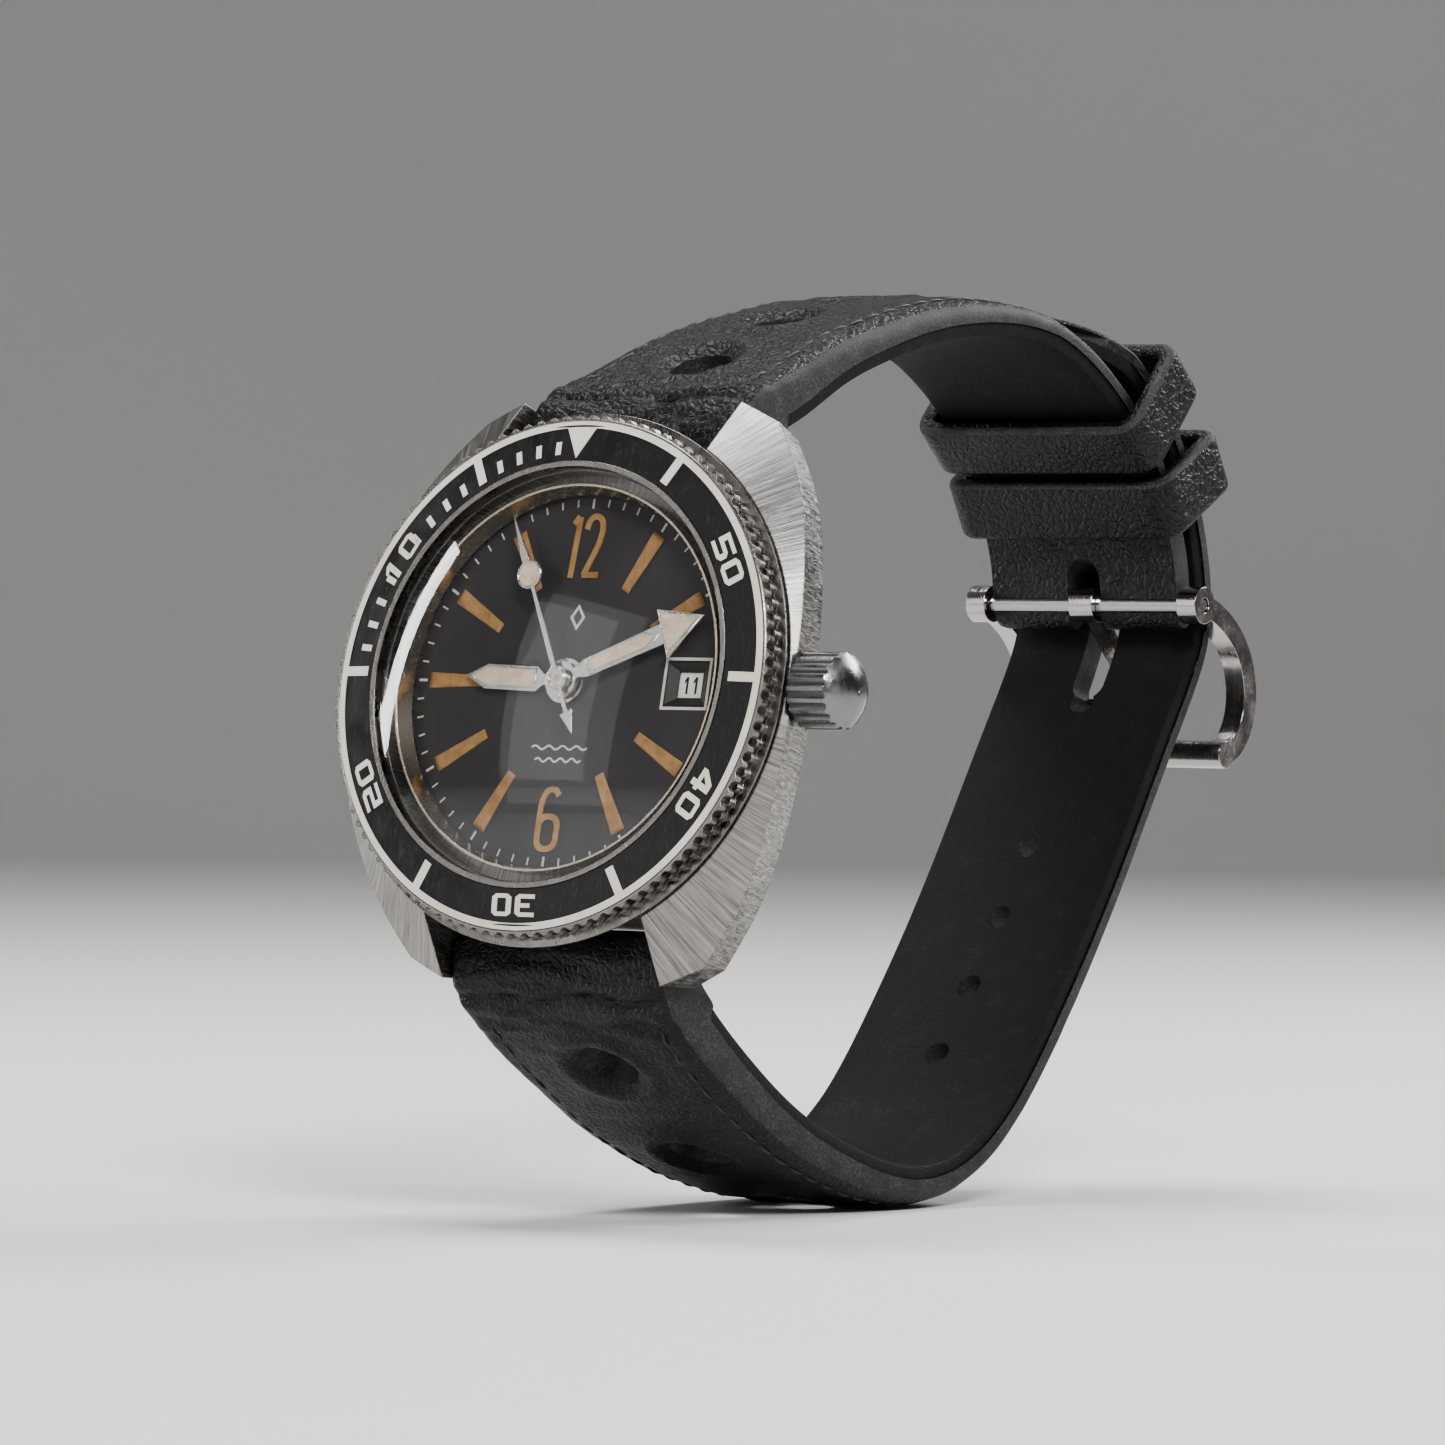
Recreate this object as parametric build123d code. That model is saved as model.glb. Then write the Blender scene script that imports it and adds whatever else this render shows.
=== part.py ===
from build123d import *
from math import atan2, cos, degrees, hypot, pi, radians, sin
import os

# Millimetres. The watch is modelled lying flat in its own frame: X to 3 o'clock, Y to 12 o'clock,
# Z out of the dial, origin at the centre of the case back's outer face. place() then stands it up,
# leaning back by LEAN, which gives the row frame: +Z up, dial facing -Y, +X to the crown.
LEAN = 12.3

# ---- driving dimensions -------------------------------------------------------------------
LUG_GAP = 18.2
STRAP_WIDTH = 17.8
STRAP_WIDTH_AT_BUCKLE = 16.0
CASE_HALF_WIDTH = 18.7
CASE_FLANK_TAPER = 0.27
CASE_BOTTOM_Z = 1.0
BEZEL_SEAT_Z = 7.9
TOP_CONE_START_R = 18.35
TOP_CONE_SLOPE = 0.87
ARCH_RADIUS = 63.7
ARCH_TOP_Z = 3.9
BACK_BOSS_R = 15.3
WALL_BETWEEN_LUGS_Y = 15.75
NECK_R = 15.6
NECK_TOP_Z = 9.1
MOVEMENT_BORE_R = 13.6
FLANGE_R = 12.9
FLANGE_Z = (7.43, 7.7)
CRYSTAL_R = 14.1
CRYSTAL_WALL = 0.75
CRYSTAL_EDGE_Z = 9.95
CRYSTAL_TOP_Z = 12.8
BEZEL_R = 17.87
BEZEL_BORE_R = 15.7
KNURL_TEETH = 104
STEM_Z = 5.85
STEM_R = 0.45
CROWN_R = 2.57
CROWN_X = (18.6, 22.7)
CROWN_FLUTES = 20
CROWN_TRAVEL = 1.0
BAR_Y = 18.0
BAR_Z = 2.4
BAR_R = 0.75
BAR_TIP_R = 0.45
BUCKLE_BAR = (19.3, -53.3)
BUCKLE_CROSSBAR = (9.4, -58.7)
LINING = 1.0
RALLY_HOLE_R = 2.2
TAIL_ROUND_R = 8.4
DIAL_Z = (7.0, 7.4)
DIAL_R = 13.4
DATE_WINDOW = (8.2, 11.4, 1.35)
HOUR_ANGLE, MINUTE_ANGLE, SECONDS_ANGLE = 272.0, 68.0, 333.5

# ---- the movement's wheel positions, teeth and levels ---------------------------------------
PLATE_Z = (5.1, 6.45)
PLATE_R = 12.7
BRIDGE_Z = (3.3, 3.95)
TRAIN_R = 3.45
TRAIN_MODULE, THIRD_MODULE, ESCAPE_MODULE = TRAIN_R / 45, TRAIN_R / 42.5, TRAIN_R / 44
BARREL_MODULE = 0.15
MOTION_MODULE = 0.16


def polar(r, angle, origin=(0.0, 0.0)):
    a = radians(angle)
    return (origin[0] + r * cos(a), origin[1] + r * sin(a))


CENTRE = (0.0, 0.0)
BARREL_AT = polar(6.3, 125)
THIRD_AT = polar(TRAIN_R, -20)
ESCAPE_AT = polar(TRAIN_R, -110)
PALLET_AT = polar(2.35, -165, ESCAPE_AT)
BALANCE_AT = polar(3.1, -165, PALLET_AT)
MINUTE_WHEEL_AT = polar(3.2, 40)
BARREL_BRIDGE_FEET = [(9.5, 3.8), (3.6, 10.9), (-11.0, 2.7)]
TRAIN_BRIDGE_FEET = [(10.6, -3.2), (3.2, -10.8), (-1.3, -7.7)]
COCK_FOOT = (-11.35, -0.55)
PALLET_BRIDGE_FOOT = (-3.5, -9.3)
AUTO_BRIDGE_FEET = [(4.3, 2.7), (0.5, -4.8), (-1.0, 2.9)]


def place(shape):
    """From the flat watch frame to the row frame."""
    return Rotation(90 - LEAN, 0, 0) * shape


def disc(r, z0, z1, at=CENTRE):
    return Pos(at[0], at[1], z0) * Cylinder(r, z1 - z0, align=(Align.CENTER, Align.CENTER, Align.MIN))


def ring(r_out, r_in, z0, z1, at=CENTRE):
    return disc(r_out, z0, z1, at) - disc(r_in, z0 - 0.01, z1 + 0.01, at)


def rod_x(r, x0, x1, y, z):
    return Pos(x0, y, z) * Rotation(0, 90, 0) * Cylinder(
        r, x1 - x0, align=(Align.CENTER, Align.CENTER, Align.MIN)
    )


def block(x0, x1, y0, y1, z0, z1):
    size = (x1 - x0, y1 - y0, z1 - z0)
    return Pos((x0 + x1) / 2, (y0 + y1) / 2, (z0 + z1) / 2) * Box(*size)


def polygon(points):
    return make_face(Polyline(*points, close=True))


def prism(points, z0, z1):
    return extrude(Pos(0, 0, z0) * polygon(points), z1 - z0)


def turned(points):
    """A solid of revolution about Z from (radius, z) points."""
    return revolve(Plane.XZ * polygon(points), Axis.Z)


def angle_to(a, b):
    return degrees(atan2(b[1] - a[1], b[0] - a[0]))


def tooth_points(teeth, root_r, tip_r, phase, root_share=0.25, tip_share=0.09):
    """The outline of a toothed wheel with one tooth centred on the angle phase, in degrees."""
    step = 360 / teeth
    points = []
    for n in range(teeth):
        middle = phase + n * step
        points.append(polar(root_r, middle - root_share * step))
        points.append(polar(tip_r, middle - tip_share * step))
        points.append(polar(tip_r, middle + tip_share * step))
        points.append(polar(root_r, middle + root_share * step))
    return points


def gear(teeth, module, z0, z1, phase, at=CENTRE):
    pitch_r = teeth * module / 2
    outline = tooth_points(teeth, pitch_r - 1.1 * module, pitch_r + 0.7 * module, phase)
    return Pos(at[0], at[1], 0) * prism(outline, z0, z1)


def gap_phase(teeth, towards):
    """The phase that puts a gap between teeth in the given direction."""
    return towards + 180 / teeth


def wheel_crossings(rim_r, hub_r, z0, z1, at, arms=4, arm_width=0.5):
    """What is cut out of a wheel between its hub, arms and rim."""
    web = ring(rim_r, hub_r, z0 - 0.1, z1 + 0.1, at)
    for n in range(arms // 2):
        bar = Box(2.2 * rim_r, arm_width, z1 - z0 + 1)
        web -= Pos(at[0], at[1], (z0 + z1) / 2) * Rotation(0, 0, n * 360 / arms) * bar
    return web


def spiral_strip(r_in, r_out, turns, thickness, z0, z1, at):
    """A flat wound spring as one strip."""
    steps = int(turns * 24)
    inner, outer = [], []
    for n in range(steps + 1):
        share = n / steps
        r = r_in + (r_out - r_in) * share
        angle = 360 * turns * share
        inner.append(polar(r - thickness / 2, angle, at))
        outer.append(polar(r + thickness / 2, angle, at))
    return prism(inner + outer[::-1], z0, z1)


# ---- case -----------------------------------------------------------------------------------
def case_outline(scale_x, scale_y, z):
    side = [
        (12.9, -19.1), (14.8, -16.4), (16.4, -13.5), (17.3, -11), (18.2, -7), (18.6, -4),
        (CASE_HALF_WIDTH, 0),
        (18.6, 4), (18.2, 7), (17.3, 11), (16.4, 13.5), (14.8, 16.4), (12.9, 19.1),
    ]
    right = [Vector(x * scale_x, y * scale_y, z) for x, y in side]
    left = [Vector(-p.X, -p.Y, z) for p in right]
    tip_x = LUG_GAP / 2 - 0.1
    tip_y = 20.5 * scale_y
    top = Polyline(right[-1], Vector(tip_x, tip_y, z), Vector(-tip_x, tip_y, z), left[0])
    bottom = Polyline(left[-1], Vector(-tip_x, -tip_y, z), Vector(tip_x, -tip_y, z), right[0])
    return make_face([Spline(*right), top, Spline(*left), bottom])


def flank_scale(half, taper, z):
    return (half - taper * (8.0 - z)) / half


def mid_case():
    z_low, z_high = -1.0, 9.0
    y_taper = 0.15
    low = case_outline(
        flank_scale(CASE_HALF_WIDTH, CASE_FLANK_TAPER, z_low), flank_scale(20, y_taper, z_low), z_low
    )
    high = case_outline(
        flank_scale(CASE_HALF_WIDTH, CASE_FLANK_TAPER, z_high), flank_scale(20, y_taper, z_high), z_high
    )
    body = loft([low, high], ruled=True)
    far_r = 27.0
    far_z = BEZEL_SEAT_Z - TOP_CONE_SLOPE * (far_r - TOP_CONE_START_R)
    body &= turned(
        [(0, -3), (far_r, -3), (far_r, far_z), (TOP_CONE_START_R, BEZEL_SEAT_Z), (0, BEZEL_SEAT_Z)]
    )
    body -= rod_x(ARCH_RADIUS, -30, 30, 0, ARCH_TOP_Z - ARCH_RADIUS)
    body += disc(BACK_BOSS_R, CASE_BOTTOM_Z, 4.8)
    body += disc(NECK_R, 7.0, NECK_TOP_Z)
    for side in (-1, 1):
        y0, y1 = sorted((side * WALL_BETWEEN_LUGS_Y, side * 26))
        body -= block(-LUG_GAP / 2, LUG_GAP / 2, y0, y1, -5, 12)
        body -= rod_x(0.5, -10.7, 10.7, side * BAR_Y, BAR_Z)
    body -= disc(MOVEMENT_BORE_R, 0, FLANGE_Z[0])
    body -= disc(FLANGE_R, 0, 12)
    body -= disc(CRYSTAL_R + 0.05, FLANGE_Z[1], 12)
    body -= disc(14.2, 0, 2.7)
    body -= disc(14.85, 0, 1.55)
    body -= ring(NECK_R + 1, NECK_R - 0.35, 8.4, 8.9)
    body -= rod_x(1.0, 12, 22, 0, STEM_Z)
    body -= rod_x(1.35, 17.55, 22, 0, STEM_Z)
    body -= rod_x(CROWN_R + 0.18, CROWN_X[0] - 0.25, 24, 0, STEM_Z)
    return body


def case_back():
    body = turned([
        (0, 0), (14.3, 0), (15.1, 0.55), (15.1, 0.95), (14.1, 0.95), (14.1, 2.5),
        (13.3, 2.5), (13.3, 1.25), (0, 1.25),
    ])
    for n in range(6):
        notch = block(13.7, 16, -1.4, 1.4, -0.1, 0.6)
        body -= Rotation(0, 0, 60 * n) * notch
    return body


def dome(r, edge_z, top_z, base_z):
    """The half section, in XZ, of a round bar with a domed end."""
    ball_r = (r * r + (top_z - edge_z) ** 2) / (2 * (top_z - edge_z))
    middle_z = top_z - ball_r + (ball_r**2 - (r / 2) ** 2) ** 0.5
    arc = ThreePointArc((r, edge_z), (r / 2, middle_z), (0, top_z))
    lines = Polyline((0, top_z), (0, base_z), (r, base_z), (r, edge_z))
    return revolve(Plane.XZ * make_face([arc, lines]), Axis.Z)


def crystal():
    inside = CRYSTAL_R - CRYSTAL_WALL
    body = dome(CRYSTAL_R, CRYSTAL_EDGE_Z, CRYSTAL_TOP_Z, FLANGE_Z[1] + 0.05)
    return body - dome(inside, CRYSTAL_EDGE_Z - 0.55, CRYSTAL_TOP_Z - 1.3, FLANGE_Z[1] - 0.5)


def bezel():
    body = turned([
        (BEZEL_BORE_R, 8.05), (18.1, 8.05), (18.3, 8.15), (18.3, 8.32), (17.62, 8.42), (17.62, 9.7),
        (17.56, 9.76), (17.47, 9.76), (17.47, 9.5), (14.62, 9.5),
        (14.62, 10.15), (14.25, 10.15), (14.25, 9.2), (BEZEL_BORE_R, 9.2),
    ])
    body -= ring(16.05, 15, 8.4, 8.9)
    step = 360 / KNURL_TEETH
    for phase, z0, z1 in ((0, 8.4, 9.03), (step / 2, 9.07, 9.7)):
        band = prism(tooth_points(KNURL_TEETH, 17.6, BEZEL_R, phase, 0.4, 0.1), z0, z1)
        body += band - disc(17.5, z0 - 1, z1 + 1)
    return body


def bezel_insert():
    return turned([(14.66, 9.51), (17.45, 9.51), (17.45, 9.76), (14.66, 10.1)])


def bezel_spring():
    body = Pos(0, 0, 8.65) * Torus(15.7, 0.18)
    return body - block(-0.6, 0.6, 14, 17, 8, 9.3)


def crown():
    x0, x1 = CROWN_X
    body = dome(CROWN_R, x0 + 2.9, x1, x0)
    for n in range(CROWN_FLUTES):
        at = polar(CROWN_R + 0.16, 360 * n / CROWN_FLUTES)
        body -= disc(0.31, x0 - 1, x0 + 3.1, at)
    body -= disc(1.75, x0 - 1, 21.0)
    body -= disc(STEM_R + 0.01, x0, 21.75)
    return Pos(0, 0, STEM_Z) * Rotation(0, 90, 0) * body


def winding_stem():
    body = rod_x(0.28, 3.6, 4.7, 0, STEM_Z)
    body += block(4.6, 8.2, -0.3, 0.3, STEM_Z - 0.3, STEM_Z + 0.3)
    body += rod_x(STEM_R, 8.1, 21.6, 0, STEM_Z)
    groove = rod_x(1, 10.7, 11.2, 0, STEM_Z) - rod_x(0.28, 10, 12, 0, STEM_Z)
    return body - groove


def pinion_x(r, teeth, x0, x1):
    outline = tooth_points(teeth, r - 0.2, r, 0, 0.3, 0.14)
    return Pos(0, 0, STEM_Z) * Rotation(0, 90, 0) * prism(outline, x0, x1)


def sliding_pinion():
    body = pinion_x(0.9, 14, 4.9, 5.4) + rod_x(0.68, 5.3, 6.4, 0, STEM_Z)
    body += pinion_x(0.9, 12, 6.35, 6.75)
    body -= ring_x(1.2, 0.6, 5.7, 6.0)
    return body - block(4, 8, -0.34, 0.34, STEM_Z - 0.34, STEM_Z + 0.34)


def ring_x(r_out, r_in, x0, x1):
    return rod_x(r_out, x0, x1, 0, STEM_Z) - rod_x(r_in, x0 - 0.1, x1 + 0.1, 0, STEM_Z)


def winding_pinion():
    body = pinion_x(0.9, 12, 6.8, 7.15) + rod_x(0.78, 7.1, 7.75, 0, STEM_Z)
    return body - rod_x(0.5, 6, 9, 0, STEM_Z)


# ---- strap: outer surfaces as (y, z) in the plane X = 0, from the lug to the free end ----------
UPPER_PATH = [
    (18.0, 4.5), (20.3, 3.8), (23.3, -0.1), (26.9, -5.3), (29.9, -10.8), (32.5, -16.6),
    (34.4, -22.5), (35.6, -28.8), (35.7, -34.3), (34.5, -39.5), (32.3, -44.4), (29.2, -48.8),
    (25.6, -52.0), (22.6, -53.8), (19.4, -54.9),
]
LOWER_PATH = [
    (-18.0, 4.5), (-20.4, 4.0), (-22.4, 1.7), (-24.2, -1.8), (-25.9, -5.9), (-27.5, -10.5),
    (-28.7, -15.5), (-29.3, -20.8), (-29.4, -26.2), (-28.5, -31.6), (-26.0, -36.6), (-21.2, -41.2),
    (-14.3, -45.2), (-7.4, -48.5), (-0.9, -51.2), (5.6, -53.7), (10.5, -55.6), (14.2, -57.0),
    (18.2, -57.8), (22.5, -56.8), (26.4, -54.75), (30.6, -51.3), (34.2, -46.4), (36.2, -41.8),
    (37.3, -37.5),
]
UPPER_THICKNESS = [(0.0, 4.2), (0.12, 3.8), (0.3, 3.2), (0.6, 2.5), (1.0, 2.2)]
LOWER_THICKNESS = [(0.0, 4.2), (0.09, 3.8), (0.22, 3.3), (0.42, 2.4), (0.6, 2.1), (1.0, 2.0)]


def thickness_at(table, share):
    for (s0, t0), (s1, t1) in zip(table, table[1:]):
        if share <= s1:
            return t0 + (t1 - t0) * (share - s0) / (s1 - s0)
    return table[-1][1]


def frame_on(path, share, inward):
    """(point, direction pointing away from the wrist) at a share of a strap's length."""
    line = Spline(*path)
    point, along = line @ share, line % share
    out = Vector(-along.Y, along.X) if inward < 0 else Vector(along.Y, -along.X)
    return point, along, out


def layer(path, table, side, top, bottom, s0, s1, samples=34):
    """One layer of a strap, between two depth functions of the full thickness, extruded across."""
    line = Spline(*path)
    outer, inner = [], []
    for n in range(samples + 1):
        share = s0 + (s1 - s0) * n / samples
        point, along = line @ share, line % share
        out = Vector(-along.Y, along.X) * side
        full = thickness_at(table, share)
        outer.append(point - out * top(full))
        inner.append(point - out * bottom(full))
    edges = [
        Spline(*outer), Line(outer[-1], inner[-1]), Spline(*inner[::-1]), Line(inner[0], outer[0])
    ]
    return extrude(Plane.YZ * make_face(edges), STRAP_WIDTH / 2, both=True)


def taper_block(margin=0.0):
    """Everything inside the strap's width, which narrows towards the buckle."""
    wide, narrow = STRAP_WIDTH / 2 + margin, STRAP_WIDTH_AT_BUCKLE / 2 + margin
    outline = [
        (-wide, 8), (-wide, 2), (-narrow, -36), (-narrow, -70), (narrow, -70), (narrow, -36),
        (wide, 2), (wide, 8),
    ]
    return extrude(Plane.XZ * polygon(outline), 60, both=True)


def across(path, share, r, side, length=6.0):
    """A round cutter standing through a strap at a share of its length."""
    line = Spline(*path)
    point, along = line @ share, line % share
    out = Vector(-along.Y, along.X) * side
    origin = Vector(0, point.X, point.Y)
    normal = Vector(0, out.X, out.Y)
    return Plane(origin=origin, z_dir=normal) * Cylinder(r, 2 * length)


UPPER_SIDE, LOWER_SIDE = 1, -1
UPPER_RALLY = (0.135, 0.275, 0.415)
LOWER_RALLY = (0.085, 0.185, 0.285)
LOWER_ADJUST = (0.455, 0.505, 0.555, 0.605, 0.705)


def strap_upper():
    body = layer(UPPER_PATH, UPPER_THICKNESS, UPPER_SIDE, lambda t: 0, lambda t: t - LINING, 0.09, 0.9)
    root = layer(UPPER_PATH, UPPER_THICKNESS, UPPER_SIDE, lambda t: 0, lambda t: t, 0.0, 0.09, 8)
    end = layer(UPPER_PATH, UPPER_THICKNESS, UPPER_SIDE, lambda t: 0, lambda t: t, 0.9, 1.0, 8)
    body = body + root + end
    body += rod_x(2.1, -STRAP_WIDTH / 2, STRAP_WIDTH / 2, BAR_Y, BAR_Z)
    body += rod_x(1.6, -8, 8, *BUCKLE_BAR)
    body &= taper_block()
    body -= rod_x(BAR_R + 0.05, -12, 12, BAR_Y, BAR_Z)
    body -= rod_x(BAR_R + 0.05, -12, 12, *BUCKLE_BAR)
    body -= block(-1.4, 1.4, 12, 22.3, -60, -50)
    for share in UPPER_RALLY:
        body -= across(UPPER_PATH, share, RALLY_HOLE_R, UPPER_SIDE)
    return body


def lining_upper():
    body = layer(
        UPPER_PATH, UPPER_THICKNESS, UPPER_SIDE, lambda t: t - LINING + 0.02, lambda t: t, 0.095, 0.895
    )
    body &= taper_block(-0.15)
    for share in UPPER_RALLY:
        body -= across(UPPER_PATH, share, RALLY_HOLE_R, UPPER_SIDE)
    return body


def strap_lower():
    body = layer(
        LOWER_PATH, LOWER_THICKNESS, LOWER_SIDE, lambda t: 0, lambda t: t - LINING, 0.06, 1.0, 48
    )
    root = layer(LOWER_PATH, LOWER_THICKNESS, LOWER_SIDE, lambda t: 0, lambda t: t, 0.0, 0.06, 8)
    body = body + root
    body += rod_x(2.1, -STRAP_WIDTH / 2, STRAP_WIDTH / 2, -BAR_Y, BAR_Z)
    body &= taper_block()
    body -= rod_x(BAR_R + 0.05, -12, 12, -BAR_Y, BAR_Z)
    return body - lower_cutters()


def lower_cutters():
    cutters = [across(LOWER_PATH, s, RALLY_HOLE_R, LOWER_SIDE) for s in LOWER_RALLY]
    cutters += [across(LOWER_PATH, s, 0.95, LOWER_SIDE) for s in LOWER_ADJUST]
    cutters.append(block(-1.3, 1.3, 12.4, 19.4, -62, -50))
    cutters.append(tail_corner_cutter())
    return cutters


def tail_corner_cutter():
    """Rounds the corners of the long strap's free end, which stands nearly upright there."""
    centre_z = LOWER_PATH[-1][1] - TAIL_ROUND_R
    keep = Pos(0, 45, centre_z) * Rotation(90, 0, 0) * Cylinder(TAIL_ROUND_R, 40)
    return block(-12, 12, 30, 60, centre_z, -30) - keep


def lining_lower():
    body = layer(
        LOWER_PATH, LOWER_THICKNESS, LOWER_SIDE, lambda t: t - LINING + 0.02, lambda t: t,
        0.065, 0.997, 48,
    )
    body &= taper_block(-0.15)
    return body - lower_cutters()


def keeper(share, length):
    """A leather loop round both strap layers, square to the long strap at a share of its length."""
    line = Spline(*LOWER_PATH)
    point, along = line @ share, line % share
    out = Vector(-along.Y, along.X) * LOWER_SIDE
    origin = Vector(0, point.X, point.Y)
    at = Plane(origin=origin, x_dir=(1, 0, 0), z_dir=Vector(0, along.X, along.Y))
    depth_sign = 1 if at.y_dir.dot(Vector(0, out.X, out.Y)) > 0 else -1
    half, wall = STRAP_WIDTH_AT_BUCKLE / 2 + 0.35, 1.3
    top, low = 1.2, -5.3
    outer = Pos(0, depth_sign * (top + low) / 2, 0) * Box(
        2 * (half + wall), top - low + 2 * wall, length
    )
    inner = Pos(0, depth_sign * (top + low) / 2, 0) * Box(2 * half, top - low, length + 1)
    return at * (fillet(outer.edges().filter_by(Axis.Z), 0.9) - inner)


KEEPER_FIXED_AT, KEEPER_FREE_AT, KEEPER_LENGTH = 0.86, 0.92, 4.6


def buckle_frame():
    path = [BUCKLE_BAR, (18.6, -56.9), (16.4, -59.9), (13.6, -61.0), (11.0, -60.5), BUCKLE_CROSSBAR]
    line = Spline(*path)
    outer, inner = [], []
    for n in range(13):
        point, along = line @ (n / 12), line % (n / 12)
        out = Vector(-along.Y, along.X)
        outer.append(point - out * 0.8)
        inner.append(point + out * 0.8)
    edges = [
        Spline(*outer), Line(outer[-1], inner[-1]), Spline(*inner[::-1]), Line(inner[0], outer[0])
    ]
    arm = extrude(Plane.YZ * make_face(edges), 1.6)
    arm += rod_x(1.35, 0, 1.6, *BUCKLE_BAR) + rod_x(1.0, 0, 1.6, *BUCKLE_CROSSBAR)
    body = Pos(8.4, 0, 0) * arm + Pos(-10.0, 0, 0) * arm
    body += rod_x(1.0, -10, 10, *BUCKLE_CROSSBAR)
    return body - rod_x(0.55, -12, 12, *BUCKLE_BAR)


def buckle_tongue():
    y0, z0 = BUCKLE_BAR
    y1, z1 = BUCKLE_CROSSBAR
    points = [
        (y0 - 0.9, z0 - 0.6), (y0 - 0.2, z0 - 1.2), (14.6, -61.3), (12.0, -62.0), (8.0, -60.9),
        (8.0, -60.1), (y1, -59.95), (12.0, -60.9), (14.2, -60.1),
    ]
    body = extrude(Plane.YZ * polygon(points), 0.6, both=True)
    body += rod_x(1.3, -1.0, 1.0, y0, z0)
    return body - rod_x(BAR_R + 0.05, -12, 12, y0, z0)


def buckle_bar():
    body = rod_x(BAR_R, -8.2, 8.2, *BUCKLE_BAR)
    return body + rod_x(BAR_TIP_R, -9.9, 9.9, *BUCKLE_BAR)


def spring_bar(side):
    body = rod_x(BAR_R, -8.7, 8.7, side * BAR_Y, BAR_Z)
    return body - rod_x(BAR_TIP_R + 0.05, -9, 9, side * BAR_Y, BAR_Z)


def bar_tip(side, hand):
    x0, x1 = sorted((hand * 5.6, hand * 10.45))
    return rod_x(BAR_TIP_R, x0, x1, side * BAR_Y, BAR_Z)


# ---- dial side ------------------------------------------------------------------------------
def dial():
    body = disc(DIAL_R, *DIAL_Z) - disc(1.3, 6, 8)
    x0, x1, half = DATE_WINDOW
    window = loft([
        Pos((x0 + x1) / 2, 0, DIAL_Z[0] - 0.01) * Rectangle(x1 - x0 - 0.3, 2 * half - 0.3),
        Pos((x0 + x1) / 2, 0, DIAL_Z[1] + 0.01) * Rectangle(x1 - x0 + 0.3, 2 * half + 0.3),
    ])
    return body - window


def date_ring():
    teeth = 31
    body = ring(12.1, 7.9, 6.6, 6.85)
    for n in range(teeth):
        at = polar(7.9, 360 * (n + 0.5) / teeth)
        body -= disc(0.45, 6, 7, at)
    return body


def hand_blade(points, z0, z1, hub_r, bore_r, clock_angle, foot=0.0):
    """A hand drawn pointing along +Y, then turned to its clock angle."""
    body = prism(points, z0, z1) + disc(hub_r, z0, z1)
    if foot:
        body += disc(hub_r, z0 - foot, z1)
    body -= disc(bore_r, z0 - 1, z1 + 1)
    return Rotation(0, 0, -clock_angle) * body


def hour_hand():
    half = 0.85
    points = [(-0.3, 0.8), (-0.4, 1.8), (-half, 2.35), (-half, 6.6), (0, 8.3), (half, 6.6), (half, 2.35),
              (0.4, 1.8), (0.3, 0.8)]
    return hand_blade(points, 7.72, 7.9, 1.55, 1.12, HOUR_ANGLE)


def minute_hand():
    points = [(-0.28, 0.6), (-0.4, 1.4), (-0.64, 2.1), (-0.72, 8.5), (-1.8, 8.5), (0, 12.0),
              (1.8, 8.5), (0.72, 8.5), (0.64, 2.1), (0.4, 1.4), (0.28, 0.6)]
    return hand_blade(points, 8.17, 8.35, 1.25, 0.77, MINUTE_ANGLE)


def seconds_hand():
    z0, z1 = 8.65, 8.8
    points = [(-0.2, 0), (-0.14, 6.9), (-0.22, 8.6), (-0.3, 9.1), (0, 12.5), (0.3, 9.1), (0.22, 8.6),
              (0.14, 6.9), (0.2, 0)]
    tail = [(-0.16, 0), (-0.16, -2.6), (-0.5, -2.6), (0, -4.3), (0.5, -2.6), (0.16, -2.6), (0.16, 0)]
    body = prism(points, z0, z1) + prism(tail, z0, z1) + disc(0.8, z0, z1) + disc(1.0, z0, z1, (0, 7.9))
    body += disc(0.45, 8.45, z0 + 0.05)
    body -= disc(0.205, 8, 9)
    return Rotation(0, 0, -SECONDS_ANGLE) * body


def cannon_pinion():
    toward = angle_to(CENTRE, MINUTE_WHEEL_AT)
    body = gear(10, MOTION_MODULE, 6.5, 6.74, toward)
    body += disc(0.75, 6.6, 8.4)
    return body - disc(0.43, 6, 9)


def minute_wheel():
    back = angle_to(MINUTE_WHEEL_AT, CENTRE)
    body = gear(30, MOTION_MODULE, 6.52, 6.68, gap_phase(30, back), MINUTE_WHEEL_AT)
    body += gear(8, MOTION_MODULE, 6.66, 6.95, back, MINUTE_WHEEL_AT)
    return body - disc(0.33, 6, 8, MINUTE_WHEEL_AT)


def hour_wheel():
    toward = angle_to(CENTRE, MINUTE_WHEEL_AT)
    body = gear(32, MOTION_MODULE, 6.79, 6.93, gap_phase(32, toward))
    body += disc(1.1, 6.85, 7.92)
    return body - disc(0.8, 6, 9)


# ---- movement -------------------------------------------------------------------------------
def stem_room(body):
    body -= block(3.4, 8.0, -1.02, 1.02, 4.8, 6.6)
    return body - rod_x(0.55, 7, 14, 0, STEM_Z)


JEWEL_R = 0.42
JEWELS_PLATE = [THIRD_AT, ESCAPE_AT, PALLET_AT, BALANCE_AT]
PIVOT_R = 0.12


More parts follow.
